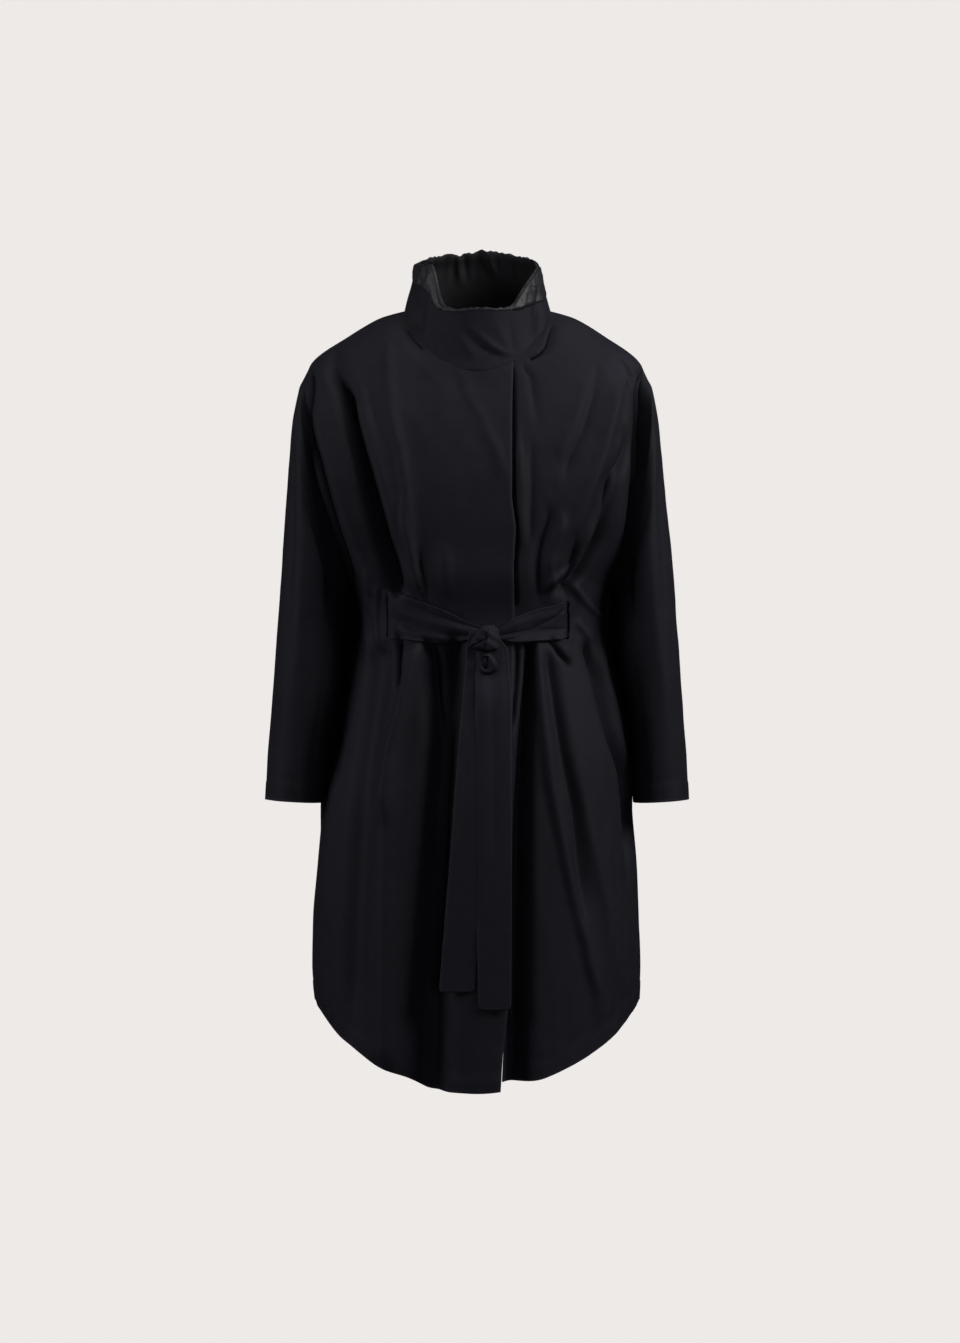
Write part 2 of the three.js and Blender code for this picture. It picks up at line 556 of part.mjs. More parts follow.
function sleeve(sign) {
  const frontHalf = ARMHOLE_ROWS.map((s) => [s, true]);
  const backHalf = [...ARMHOLE_ROWS].reverse().slice(1, -1).map((s) => [s, false]);
  const around = [...frontHalf, ...backHalf];
  const grid = SLEEVE_ROWS.map((k) => around.map(([s, front]) => sleevePoint(k, s, front, sign)));
  return thickSheet(sign < 0 ? turned(grid) : grid, WALL, true);
}
piece('sleeve_right', sleeve(-1), SHELL);
piece('sleeve_left', sleeve(1), SHELL);

// ---- Collar -------------------------------------------------------------------------
/** Outer point of the collar at height share t; inset moves it inwards. */
function collarPoint(t, tau, inset, rise = 0) {
  const a = rad(tau);
  const [sin, cos] = [Math.sin(a), Math.cos(a)];
  const row = t * (COLLAR_RINGS.length - 1);
  const value = (key) => column(COLLAR_RINGS, key, row);
  const depth = value(cos > 0 ? 'front' : 'back');
  const over = COLLAR_OVERLAP * smooth((tau + 75) / 75);
  const grow = over - inset;
  const sideZ = value('sideZ');
  const dip = Math.abs(cos) ** NECK_DIP;
  const fall = cos > 0 ? dip + t * (Math.sin((Math.PI / 2) * dip) - dip) : dip;
  const z = sideZ + (value(cos > 0 ? 'frontZ' : 'backZ') - sideZ) * fall;
  return new THREE.Vector3((value('half') + grow) * sin, -(depth + grow) * cos, z + rise);
}

/** One ply of the collar, from its right end at the front round the back to its left end. */
function collar(inset, wall, rise) {
  const columns = 42;
  const start = frontAngle(0, COLLAR_END_X);
  const end = frontAngle(0, COLLAR_UNDER_X) - 360;
  const heights = [0, 0.25, 0.6, 1];
  const grid = heights.map((t) => Array.from({ length: columns + 1 }, (_, j) => {
    const tau = start + ((end - start) * j) / columns;
    return collarPoint(t, tau, inset, 2 * SEAM + t * rise);
  }));
  return thickSheet(grid.reverse(), wall);
}
piece('collar_outer', collar(0, WALL, 0), SHELL);
piece('collar_lining', collar(WALL + 3 * SEAM, LINING_WALL, LINING_RISE), SATIN);

// ---- Belt ---------------------------------------------------------------------------
/** Strip of belt over rows of place, width and lift, on the front of the coat. */
function beltStrip(rows, across) {
  const grid = rows.map((r) => Array.from({ length: across + 1 }, (_, j) => {
    const z = r.z + r.wide * (0.5 - j / across);
    return onFront(r.x, z, r.lift + BELT_WALL);
  }));
  return turned(grid);
}
const beltRaise = (r) => ({ ...r, lift: r.lift + overlapRaise(r.x) });
piece('belt_waist_right', thickSheet(beltStrip(BELT_RIGHT.map(beltRaise), 5), BELT_WALL), SHELL);
piece('belt_waist_left', thickSheet(
  beltStrip(BELT_LEFT.map((r) => ({ ...r, lift: r.lift + OVERLAP_LIFT * smooth((70 - r.x) / 24) })), 5).reverse(),
  BELT_WALL,
), SHELL);

/** The run inside the back, between the ends that come in through the slits. */
function beltInside() {
  const start = frontAngle(9, BELT_INSIDE_END);
  const end = frontAngle(9, -BELT_INSIDE_END);
  const columns = 34;
  const heights = [8.45, 8.85, 9.25];
  const grid = heights.map((s) => Array.from({ length: columns + 1 }, (_, j) => {
    const tau = start + ((360 + end - start) * j) / columns;
    return bodyPoint(s, tau, BELT_INSIDE_LIFT);
  }));
  return thickSheet(turned(grid), BELT_WALL);
}
piece('belt_inside', beltInside(), SHELL);

/** Free end of the belt: rows of height with its two edges. */
function tail(rows) {
  const grid = rows.map((r) => Array.from({ length: 5 }, (_, j) => {
    const x = r.start + ((r.end - r.start) * j) / 4;
    return onFront(x, r.z, r.lift + OVERLAP_LIFT + BELT_WALL);
  }));
  return thickSheet(turned(grid), BELT_WALL);
}

/** A table with extra rows between its own, at equal shares. */
function refine(rows, parts) {
  return rows.slice(0, -1).flatMap((r, i) => Array.from({ length: parts }, (_, j) => {
    const f = j / parts;
    return Object.fromEntries(Object.keys(r).map((key) => [key, r[key] + f * (rows[i + 1][key] - r[key])]));
  })).concat(rows.slice(-1));
}
piece('belt_tail_under', tail(refine(TAIL_UNDER, 3)), SHELL);
piece('belt_tail_over', tail(refine(TAIL_OVER, 3)), SHELL);

/** The knot: a flattened dome with the creases of its wraps, on a flat back. */
function knot() {
  const geometry = new THREE.SphereGeometry(1, 18, 12);
  geometry.deleteAttribute('normal');
  geometry.deleteAttribute('uv');
  const merged = mergeVertices(geometry, 1e-4);
  const position = merged.attributes.position;
  for (let i = 0; i < position.count; i += 1) {
    const p = new THREE.Vector3().fromBufferAttribute(position, i);
    const taper = 1 - 0.18 * p.z;
    const crease = 1 - 0.1 * Math.exp(-(((p.x + 0.35 * p.z) / 0.22) ** 2));
    const depth = p.y > 0 ? 0 : -p.y * KNOT.deep * crease;
    const [x, z] = [KNOT.x + (p.x * taper * KNOT.wide) / 2, KNOT.z + (p.z * KNOT.tall) / 2];
    const seat = onFront(x, z, KNOT.lift + OVERLAP_LIFT).y;
    position.setXYZ(i, x, seat - depth, z);
  }
  return outwards(merged);
}
piece('belt_knot', knot(), SHELL);

/** The small loop under the knot: a band bent into a drop. */
function loop() {
  const grid = Array.from({ length: 17 }, (_, i) => {
    const a = rad(-62 + (304 * i) / 16);
    const [x, z] = [Math.sin(a + Math.PI), Math.cos(a + Math.PI)];
    const height = LOOP.z - (LOOP.drop / 2) * (1 - z);
    const seat = onFront(LOOP.x, height, LOOP.lift + OVERLAP_LIFT).y;
    return [0, 1].map((side) => new THREE.Vector3(
      LOOP.x + (x * LOOP.wide) / 2,
      seat - side * LOOP.deep,
      height,
    ));
  });
  return thickSheet(grid, BELT_WALL);
}
piece('belt_loop', loop(), SHELL);

export default coat;
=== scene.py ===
"""Belted rain coat: stand collar with satin inner ply, deep-set sleeves, tied belt, shirt-tail hem.

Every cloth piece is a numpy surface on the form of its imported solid. Shapes are worked out in
millimetres (+Z up, the front faces -Y, "right" is the wearer's, at -X) and put into metres
when the mesh is made.
"""
import logging
import math
from dataclasses import astuple, dataclass, field
from enum import Enum
from typing import Any, Callable, ClassVar, Sequence

import bmesh
import bpy
import numpy as np
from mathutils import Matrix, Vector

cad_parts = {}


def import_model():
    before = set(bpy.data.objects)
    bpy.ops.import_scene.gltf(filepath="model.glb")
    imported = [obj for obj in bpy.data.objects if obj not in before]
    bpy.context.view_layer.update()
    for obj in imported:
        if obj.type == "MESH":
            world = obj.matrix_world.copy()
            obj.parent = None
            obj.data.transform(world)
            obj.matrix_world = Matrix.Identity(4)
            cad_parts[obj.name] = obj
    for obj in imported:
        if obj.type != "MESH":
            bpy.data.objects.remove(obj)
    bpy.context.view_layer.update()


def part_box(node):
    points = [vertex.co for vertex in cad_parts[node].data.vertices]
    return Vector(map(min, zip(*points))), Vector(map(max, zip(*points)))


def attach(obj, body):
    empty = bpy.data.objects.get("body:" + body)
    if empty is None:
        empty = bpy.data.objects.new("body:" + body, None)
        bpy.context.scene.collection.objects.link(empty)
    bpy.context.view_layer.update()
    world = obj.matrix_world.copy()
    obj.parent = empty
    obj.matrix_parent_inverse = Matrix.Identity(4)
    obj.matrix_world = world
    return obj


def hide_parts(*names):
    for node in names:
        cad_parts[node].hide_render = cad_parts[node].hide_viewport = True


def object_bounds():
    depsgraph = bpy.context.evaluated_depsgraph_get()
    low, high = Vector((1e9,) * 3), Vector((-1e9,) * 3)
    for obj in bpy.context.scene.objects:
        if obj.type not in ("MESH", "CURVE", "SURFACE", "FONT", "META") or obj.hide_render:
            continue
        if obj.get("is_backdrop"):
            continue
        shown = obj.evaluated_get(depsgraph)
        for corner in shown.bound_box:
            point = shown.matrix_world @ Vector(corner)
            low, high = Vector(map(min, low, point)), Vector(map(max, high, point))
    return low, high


MM = 0.001
WAIST_Z = -392.0  # height of the belt
SLIT_X = 113.0  # the belt goes inside here, on both fronts
SHOULDER_TIP, UNDERARM = 3.0, 8.0  # ring rows at the ends of the armhole
ARMHOLE_MIDDLE, ARMHOLE_HALF = (SHOULDER_TIP + UNDERARM) / 2, (UNDERARM - SHOULDER_TIP) / 2
WAIST_ROW, LAST_ROW = 9.0, 17.0  # ring rows at the belt and at the hem
LAP = 3.5  # how far the right front stands outside the left one
HEM_BAND, CUFF_BAND = 24.0, 26.0  # depths of the turned hem and cuffs, in mm
FRONT_STITCH = 9.0  # from the front edge to its stitch line
PLACKET = 26.0  # from the middle to the stitch line that holds the right front's facing
BELT_STITCH, BELT_WIDE = 4.0, 50.0  # from the belt's edge to its stitching, and its width
log = logging.getLogger("rain_coat")

Profile = tuple[float, ...]  # one size a ring, from the top down
Route = tuple[tuple[float, float], ...]  # pairs of places or of an angle and a size


class Slot(Enum):
    """Material slots."""

    SHELL = "shell"
    LINING = "lining"


class Held(Enum):
    """How a sheet of cloth is held."""

    HUNG = "hung"
    GATHERED = "gathered"
    FOLDED = "folded"


@dataclass(frozen=True)
class Finishes:
    """The coat's materials, made once and shared by its pieces."""

    shell: bpy.types.Material
    satin: bpy.types.Material
    # the collar's inner ply: the lining drawn darker as painted shade for the collar's hollow
    inside: bpy.types.Material
    thread: bpy.types.Material


# ---- Small maths ------------------------------------------------------------------------


def smooth(t: Any) -> Any:
    """Smooth step 3t^2 - 2t^3, with t held between 0 and 1."""
    t = np.clip(t, 0.0, 1.0)
    return t * t * (3.0 - 2.0 * t)


def bump(d: Any, half: Any, power: float = 2.0) -> Any:
    """Bell exp(-|d / half|^power): 1 in the middle, 0.37 at the half width."""
    return np.exp(-(np.abs(d / half) ** power))


def column(values: Sequence[float], t: np.ndarray) -> np.ndarray:
    """Monotone cubic through evenly spaced values.

    Between two rows it is the Hermite cubic whose end slopes are the harmonic means of the
    steps on both sides, and 0 where the steps change sign.

    Args:
        values: one value a row.
        t: rows, whole or between.

    Returns:
        The values at t.
    """
    v = np.asarray(values, float)
    step = np.concatenate([[0.0], np.diff(v), [0.0]])
    product = step[:-1] * step[1:]
    total = step[:-1] + step[1:]
    slope = np.where(product > 0, 2 * product / np.where(total == 0, 1, total), 0.0)
    i = np.clip(np.floor(t).astype(int), 0, len(v) - 2)
    f = t - i
    h = smooth(f)
    return (1 - h) * v[i] + h * v[i + 1] + f * (1 - f) ** 2 * slope[i] - f * f * (1 - f) * slope[i + 1]


def along(path: Route, z: np.ndarray) -> np.ndarray:
    """x of a path of (x, z) places that runs down.

    Args:
        path: the places, highest first.
        z: heights.

    Returns:
        x at the heights, by the monotone cubic through the places.
    """
    xs, zs = np.array(path, float).T
    rows = np.interp(-z, -zs, np.arange(len(zs), dtype=float))
    return column(xs, rows)


def unit(v: np.ndarray) -> np.ndarray:
    """Vectors divided by their lengths."""
    return v / np.maximum(np.linalg.norm(v, axis=-1, keepdims=True), 1e-9)


def lengths(grid: np.ndarray, axis: int) -> np.ndarray:
    """Length from the grid's first row (axis 0) or column (axis 1) to each point.

    Args:
        grid: points, rows x columns x 3.
        axis: 0 to measure down the rows, 1 across the columns.

    Returns:
        The running sums of the steps, rows x columns.
    """
    steps = np.cumsum(np.linalg.norm(np.diff(grid, axis=axis), axis=-1), axis)
    return np.concatenate([np.zeros_like(steps.take([0], axis)), steps], axis)


def facing(tau: np.ndarray) -> np.ndarray:
    """Angles brought between -180 and 180 degrees: 0 front, 90 left, -90 right."""
    return (tau + 180) % 360 - 180


def spaced(path: np.ndarray, places: np.ndarray, at: np.ndarray) -> np.ndarray:
    """Points or vectors of a polyline at the given lengths along it, `at` being its corners' own."""
    return np.stack([np.interp(places, at, path[:, c]) for c in range(3)], 1)


# ---- Sewing details, as heights on the cloth --------------------------------------------


def turned_band(edge: np.ndarray, wide: float) -> np.ndarray:
    """A turned hem: 0.6 mm proud up to its stitch line, where the thread pulls a groove 0.55 mm deep."""
    return 0.6 * smooth((wide - edge) / 2.5) - 0.55 * bump(edge - wide, 1.7)


def belt_edge(edge: np.ndarray) -> np.ndarray:
    """A belt's edge: 0.15 mm proud up to its stitching, which pulls a groove 0.2 mm deep."""
    return 0.15 * smooth((BELT_STITCH - edge) / 1.5) - 0.2 * bump(edge - BELT_STITCH, 1.0)


# ---- Folds ------------------------------------------------------------------------------


@dataclass(frozen=True)
class Fold:
    """One fold of hanging cloth: a ridge (depth above 0) or a trough (below 0) along a path.

    The height across it is depth * exp(-|d / half|^sharp), with its own half width on each side,
    and it rises and dies out over `fade` at both ends.
    """

    path: Route
    depth: float
    right: float  # half width towards -X
    left: float  # half width towards +X
    sharp: float = 1.8
    fade: tuple[float, float] = (34.0, 34.0)
    widen: float = 1.0  # half widths at the lower end against the upper end

    def height(self, x: np.ndarray, z: np.ndarray, lean: np.ndarray) -> np.ndarray:
        """Height of the fold at places on the cloth.

        Args:
            x: places across the coat.
            z: their heights.
            lean: turns a step in x into one on the cloth, as the normal's share towards the front.

        Returns:
            Heights in mm.
        """
        top, bottom = self.path[0][1], self.path[-1][1]
        run = np.clip((top - z) / (top - bottom), 0, 1)
        d = (x - along(self.path, z)) / lean
        half = np.where(d < 0, self.right, self.left) * (1 + (self.widen - 1) * run)
        ends = smooth((top + self.fade[0] * 0.5 - z) / self.fade[0])
        ends = ends * smooth((z - bottom + self.fade[1] * 0.5) / self.fade[1])
        return self.depth * ends * bump(d, half, self.sharp)


@dataclass(frozen=True)
class Crumple:
    """Shallow creases all over a piece of cloth.

    A seeded sum of waves, each 1 - |sin|^0.8, bent by slower waves and coming and going in patches.
    """

    seed: int
    height: float = 0.45
    short: float = 22.0  # shortest wavelength
    long: float = 60.0
    waves: int = 9
    upright: float = 2.4  # creases run this much longer down the cloth than across it

    def field(self, u: np.ndarray, v: np.ndarray) -> np.ndarray:
        """Crease heights.

        Args:
            u: places across the cloth, in mm.
            v: places down it, in mm.

        Returns:
            Heights in mm.
        """
        rng = np.random.default_rng(self.seed)
        total = np.zeros_like(u)
        for _ in range(self.waves):
            length = rng.uniform(self.short, self.long)
            turn = rng.uniform(-1.1, 1.1)
            phase = rng.uniform(0, 6.3, 3)
            a = u * math.cos(turn) + v * math.sin(turn) / self.upright
            bend = 0.9 * np.sin(v / (length * 2.1) + phase[1]) + 0.6 * np.sin(u / (length * 1.7) + phase[2])
            wave = 1 - np.abs(np.sin(math.pi * a / length + bend + phase[0])) ** 0.8
            patch = 0.5 + 0.5 * np.sin(u / (length * 1.3) + phase[2]) * np.sin(v / (length * 3.1) + phase[1])
            total += (wave - 0.35) * patch * length / self.long
        return self.height * total


class Wardrobe:
    """Folds of the coat, in the places and sizes in which they hang."""

    RIGHT_FRONT: tuple[Fold, ...] = (
        # above the belt
        Fold(((-214, -80), (-215, -139), (-201, -197), (-181, -274), (-162, -345)),
             -17, 4.5, 5.5, 1.5, (20, 30)),
        Fold(((-200, -120), (-176, -230), (-150, -310), (-128, -372)), 8, 13, 11, 1.8),
        Fold(((-184, -80), (-170, -113), (-152, -184), (-134, -248), (-120, -300), (-106, -350), (-99, -372)),
             -30, 10, 13, 1.8, (90, 26)),
        Fold(((-152, -120), (-120, -232), (-98, -320), (-84, -372)), 6.5, 9, 13, 1.8, (60, 26)),
        Fold(((-142, -96), (-134, -128), (-124, -168)), -3, 6, 7, 1.7),
        Fold(((-112, -48), (-109, -129), (-96, -187), (-84, -273), (-75, -329), (-64, -374)), 5, 9, 8, 1.7),
        Fold(((-92, -262), (-83, -308), (-71, -348), (-65, -376)), 7, 5, 5, 1.6, (60, 14)),
        Fold(((-74, -318), (-66, -355), (-60, -385)), -10, 4, 5, 1.6, (40, 14)),
        Fold(((-106, -300), (-94, -345), (-82, -380)), -9, 6, 6, 1.6, (50, 14)),
        Fold(((-40, -310), (-38, -345), (-36, -380)), 4, 9, 9, 1.8),
        Fold(((-92, -24), (-85, -37), (-73, -52)), -9, 5, 5, 1.5, (5, 8)),
        Fold(((-16, -96), (8, -150), (32, -215)), 2.4, 9, 7, 1.7),
        Fold(((-30, -80), (-14, -118), (6, -160)), -1.2, 7, 6, 1.7),
        # below the belt
        Fold(((-74, -426), (-92, -500), (-106, -600), (-112, -720), (-112, -960)),
             13, 24, 15, 1.7, (24, 60)),
        Fold(((-61, -422), (-58, -470), (-53, -540), (-58, -640), (-66, -760), (-76, -930), (-80, -1010)),
             -25, 9, 10, 1.9, (24, 20), 2.0),
        Fold(((-29, -416), (-30, -480), (-34, -560), (-42, -700), (-50, -860), (-54, -1010)),
             -27, 11, 12, 2.1, (24, 20), 1.5),
        Fold(((-45, -424), (-44, -540), (-50, -700), (-62, -930), (-66, -1010)),
             -8, 13, 12, 2.0, (30, 20), 1.5),
        Fold(((-72, -424), (-82, -470), (-91, -512), (-104, -560), (-114, -640)), 10, 5, 6, 1.6, (16, 50)),
        Fold(((-99, -404), (-97, -440), (-95, -482)), -18, 4.5, 5, 1.6, (16, 30)),
        Fold(((-82, -424), (-88, -452), (-92, -486)), 4, 6, 5, 1.7),
        Fold(((-124, -430), (-142, -600), (-156, -900)), -10, 18, 22, 2.0, (30, 120)),
        Fold(((-158, -428), (-180, -560), (-196, -760)), 4, 20, 16, 2.0, (30, 120)),
        Fold(((-4, -470), (2, -700), (2, -1000)), 5, 22, 26, 2.4),
    )
    LEFT_FRONT: tuple[Fold, ...] = (
        # above the belt
        Fold(((97, -20), (94, -34), (91, -46), (82, -58), (70, -66)), -10, 4.5, 6, 1.5, (6, 8)),
        Fold(((170, -50), (180, -66), (188, -92)), 3.2, 4.5, 4.5, 1.6, (8, 14)),
        Fold(((180, -54), (189, -72), (196, -96)), -3.6, 4, 4, 1.6, (8, 14)),
        Fold(((188, -58), (197, -76), (203, -98)), 3, 4, 4, 1.6, (8, 14)),
        Fold(((150, -44), (163, -60), (178, -100)), -2.2, 6, 6, 1.6, (10, 20)),
        Fold(((60, -74), (68, -91), (73, -140)), -3, 6, 7, 1.7),
        Fold(((53, -176), (56, -230), (57, -292)), 2.6, 4, 5, 1.7),
        Fold(((68, -176), (68, -235), (66, -292)), -2.4, 5, 6, 1.6),
        Fold(((90, -262), (80, -302), (76, -340), (76, -382)), -7, 6, 7, 1.6, (40, 14)),
        Fold(((106, -270), (88, -325), (92, -380)), 6, 7, 8, 1.7),
        Fold(((154, -74), (147, -112), (136, -150), (112, -214)), -4.5, 8, 8, 1.6),
        Fold(((138, -84), (128, -128), (108, -186)), 2.4, 9, 8, 1.8),
        Fold(((178, -92), (160, -180), (134, -250), (100, -338)), 6, 11, 10, 1.8),
        Fold(((214, -90), (213, -140), (210, -194), (203, -270), (192, -330), (180, -372)),
             -26, 13, 12, 1.7, (50, 30)),
        Fold(((188, -170), (166, -222), (151, -293), (125, -340), (98, -366)), -15, 10, 10, 1.6, (60, 20)),
        Fold(((184, -176), (174, -203), (155, -267), (122, -325), (88, -358)), 7, 8, 6, 1.7, (50, 20)),
        Fold(((122, -300), (114, -335), (110, -376)), -8, 6, 6, 1.6, (40, 14)),
        # below the belt
        Fold(((74, -424), (78, -471), (91, -600), (104, -668), (118, -735), (141, -836), (150, -880)),
             7, 6, 9, 1.7, (16, 90)),
        Fold(((90, -445), (97, -498), (108, -566), (121, -633), (128, -701), (132, -760)),
             -9, 9, 12, 1.8, (50, 90)),
        Fold(((92, -420), (103, -440), (115, -454)), -11, 4.5, 4.5, 1.6, (10, 14)),
        Fold(((96, -426), (108, -520), (134, -632), (168, -820)), 5, 10, 14, 1.8, (20, 120)),
        Fold(((140, -424), (152, -471), (166, -532), (186, -600), (192, -700)), -15, 8, 12, 1.8, (34, 90)),
        Fold(((160, -436), (178, -520), (194, -640)), 4, 10, 10, 1.8),
    )
    # the left front alone sinks beside and under the right front's edge
    LEFT_ALONE: tuple[Fold, ...] = (
        Fold(((44.8, -84), (44.6, -200), (44.8, -245), (49.4, -285), (46.8, -330), (48, -376)),
             -13, 5, 2.1, 1.7, (30, 16)),
        Fold(((51, -160), (51.5, -235), (55, -300)), 2.2, 2.5, 3.5, 1.7, (40, 30)),
        Fold(((67, -424), (66, -450), (63, -500), (59, -560), (55, -640), (51, -760), (47, -900),
              (46, -1010)),
             -28, 6, 5, 2.0, (20, 20), 3.6),
        Fold(((50, -422), (49, -470), (44, -530)), -7, 5, 4, 1.7, (14, 30)),
        Fold(((64, -424), (57, -470), (51, -510), (44, -560)), 4, 4, 4, 1.7, (14, 30)),
    )
    BACK: tuple[Fold, ...] = (
        Fold(((-150, -90), (-126, -240), (-118, -420)), -7, 13, 12, 1.6),
        Fold(((-96, -110), (-88, -290), (-84, -560)), 6, 14, 16, 1.8),
        Fold(((-70, -300), (-64, -360), (-66, -470)), -4, 7, 8, 1.6),
        Fold(((-48, -150), (-50, -360), (-54, -760)), -7, 14, 12, 1.6),
        Fold(((12, -90), (6, -330), (2, -700)), 6, 16, 16, 1.9),
        Fold(((34, -310), (30, -380), (34, -520)), -4, 8, 7, 1.6),
        Fold(((62, -140), (58, -380), (66, -720)), -6, 11, 13, 1.6),
        Fold(((108, -110), (98, -290), (100, -610)), 6, 15, 14, 1.8),
        Fold(((156, -90), (134, -230), (128, -430)), -7, 12, 13, 1.6),
        Fold(((-132, -430), (-146, -660), (-152, -980)), 9, 16, 14, 1.7),
        Fold(((-108, -520), (-112, -740), (-112, -1000)), -9, 12, 13, 1.6),
        Fold(((-20, -600), (-26, -800), (-28, -1000)), 8, 15, 15, 1.8),
        Fold(((34, -620), (36, -800), (40, -1000)), -9, 13, 13, 1.6),
        Fold(((86, -560), (92, -760), (96, -1000)), 9, 15, 14, 1.7),
        Fold(((144, -420), (152, -660), (156, -980)), -8, 13, 12, 1.6),
    )
    # ruffs thrown up beside the belt slits; they only stand outwards, clear of the belt inside
    RUFFS: tuple[Fold, ...] = (
        Fold(((122, -352), (130, -366), (146, -382), (168, -402)), 5, 6, 6, 1.6, (14, 20)),
        Fold(((128, -398), (142, -420), (150, -452)), 4, 7, 6, 1.7, (14, 26)),
        Fold(((-124, -356), (-128, -392), (-124, -440)), 4, 5, 4, 1.6, (20, 26)),
        Fold(((-136, -340), (-142, -392), (-138, -450)), 3, 6, 6, 1.7, (26, 30)),
    )


# ---- Form of the coat -------------------------------------------------------------------


@dataclass(frozen=True)
class BodyForm:
    """Outer face of the coat's body as stacked rings.

    A ring is a superellipse (|x/half|^n + |y/depth|^n = 1) whose height sinks from the side to the
    front or back by a power of the cosine. Folds move its points along the level normal.
    """

    front_z: Profile = (-78, -100, -122, -152, -190, -235, -280, -322, -360, -398, -440, -500, -570, -640,
                        -726, -815, -906, -988)
    side_z: Profile = (5, -3, -28.5, -68, -124, -190, -250, -305, -350, -398, -440, -500, -570, -638, -714,
                       -786, -842, -887)
    back_z: Profile = (14, -6, -42, -98, -152, -210, -264, -314, -352, -398, -440, -500, -570, -640, -722,
                       -808, -892, -975)
    right: Profile = (93.5, 122, 167, 217, 228, 224, 207, 186, 166, 157, 160, 169, 181, 198, 206, 212,
                      213, 209)
    left: Profile = (93.5, 121, 165, 213, 226, 228, 216, 194, 171, 166, 172, 185, 196, 199, 205, 208,
                     210, 208)
    front: Profile = (84, 92, 102, 113, 123, 130, 132, 129, 124, 120, 126, 137, 145, 150, 154, 157, 159, 160)
    back: Profile = (60, 78, 94, 105, 111, 115, 117, 117, 117, 117, 119, 124, 129, 132, 135, 137, 138, 139)
    square: Profile = (2, 2.1, 2.2, 2.4, 2.6, 2.7, 2.6, 2.4, 2.3, 2.2, 2.2, 2.25, 2.3, 2.3, 2.3, 2.3,
                       2.3, 2.3)
    flank_right: Profile = (0, 10, 26, 27, 26, 24, 12, 0)  # from row 7 on
    flank_left: Profile = (0, 8, 18, 16, 15, 14, 7, 0)
    neck_dip: float = 1.35  # power by which the neck ring sinks to the front; the rings below have 2
    cinch: float = 34.0  # half height over which the belt flattens the folds
    armhole_angle: float = 28.0  # half the armhole's width at its middle, in degrees
    armhole_round: float = 1.1  # 1 gives it an elliptic outline, and more draws the ends in
    least_lean: float = 0.3  # the lean that folds are worked out with is never less
    angle_steps: int = 14
    walk_steps: int = 46

    def relief(self, x: np.ndarray, y: np.ndarray, z: np.ndarray, lean: np.ndarray) -> np.ndarray:
        """Height of all folds, flattened under the belt, with the ruffs beside the slits.

        Over the belt the front also bags out by a low bell between the slits.

        Args:
            x, y, z: places on the smooth form.
            lean: the normal's share towards the front.

        Returns:
            Heights in mm.
        """
        front = smooth((30 - y) / 60)
        belt = 1 - 0.94 * bump(z - WAIST_Z, self.cinch, 4)
        hung = sum(f.height(x, z, lean) for f in Wardrobe.RIGHT_FRONT + Wardrobe.LEFT_FRONT)
        behind = sum(f.height(x, z, lean) for f in Wardrobe.BACK)
        ruff = sum(f.height(x, z, lean) for f in Wardrobe.RUFFS)
        blouse = 4.5 * bump(z + 345, 30) * smooth((122 - np.abs(x)) / 30)
        return front * (belt * hung + ruff + blouse) + (1 - front) * behind

    def flank(self, s: np.ndarray, tau: np.ndarray) -> np.ndarray:
        """How far the back stands out beside the sleeves.

        Args:
            s: ring rows.
            tau: angles.

        Returns:
            Heights of a hump over 91 to 152 degrees, highest at 108.
        """
        turn = facing(tau)
        row = np.clip(s - 7, 0, 7)
        hump = smooth((np.abs(turn) - 91) / 17) * (1 - smooth((np.abs(turn) - 108) / 44))
        return np.where(turn < 0, column(self.flank_right, row), column(self.flank_left, row)) * hump

    def place(self, s: Any, tau: Any, lift: Any = 0.0, folds: float = 1.0) -> np.ndarray:
        """Points of the outer face.

        Args:
            s: ring rows, 0 at the neck seam and 17 at the hem.
            tau: angles in degrees, 0 front, 90 left side, -90 right side, 180 back.
            lift: how far outside the face, in mm.
            folds: share of the folds' height.

        Returns:
            Points, with x, y, z last.
        """
        s, tau, lift = np.broadcast_arrays(np.asarray(s, float), np.asarray(tau, float), lift)
        a = np.radians(tau)
        sin, cos = np.sin(a), np.cos(a)
        square = column(self.square, s)
        swell = (np.abs(sin) ** square + np.abs(cos) ** square) ** (-1 / square)
        half = np.where(sin < 0, column(self.right, s), column(self.left, s))
        depth = np.where(cos > 0, column(self.front, s), column(self.back, s))
        side = column(self.side_z, s)
        end = np.where(cos > 0, column(self.front_z, s), column(self.back_z, s))
        dip = self.neck_dip + (2 - self.neck_dip) * smooth(s / 1.2)
        x, y = half * sin * swell, -depth * cos * swell
        z = side + (end - side) * np.abs(cos) ** dip
        out = unit(np.stack([x / half**2, y / depth**2], -1))
        lean = np.maximum(np.abs(out[..., 1]), self.least_lean)
        d = lift + self.flank(s, tau) + (folds * self.relief(x, y, z, lean) if folds else 0.0)
        return np.stack([x + out[..., 0] * d, y + out[..., 1] * d, z], -1)

    def angle_at(self, s: np.ndarray, x: Any) -> np.ndarray:
        """Angles at which rings reach a given x on the front, by stepping nearer.

        Args:
            s: ring rows.
            x: places across the coat.

        Returns:
            Angles in degrees.
        """
        s = np.asarray(s, float)
        tau = np.zeros(np.broadcast(s, x).shape)
        for _ in range(self.angle_steps):
            tau = tau + np.degrees((x - self.place(s, tau)[..., 0]) / column(self.left, s))
        return tau

    def armhole(self, s: np.ndarray) -> np.ndarray:
        """Half angle of the armhole at rows s: nearly a half ellipse over the rows."""
        q = (s - ARMHOLE_MIDDLE) / ARMHOLE_HALF
        return self.armhole_angle * np.maximum(1 - q * q, 0) ** (self.armhole_round / 2)

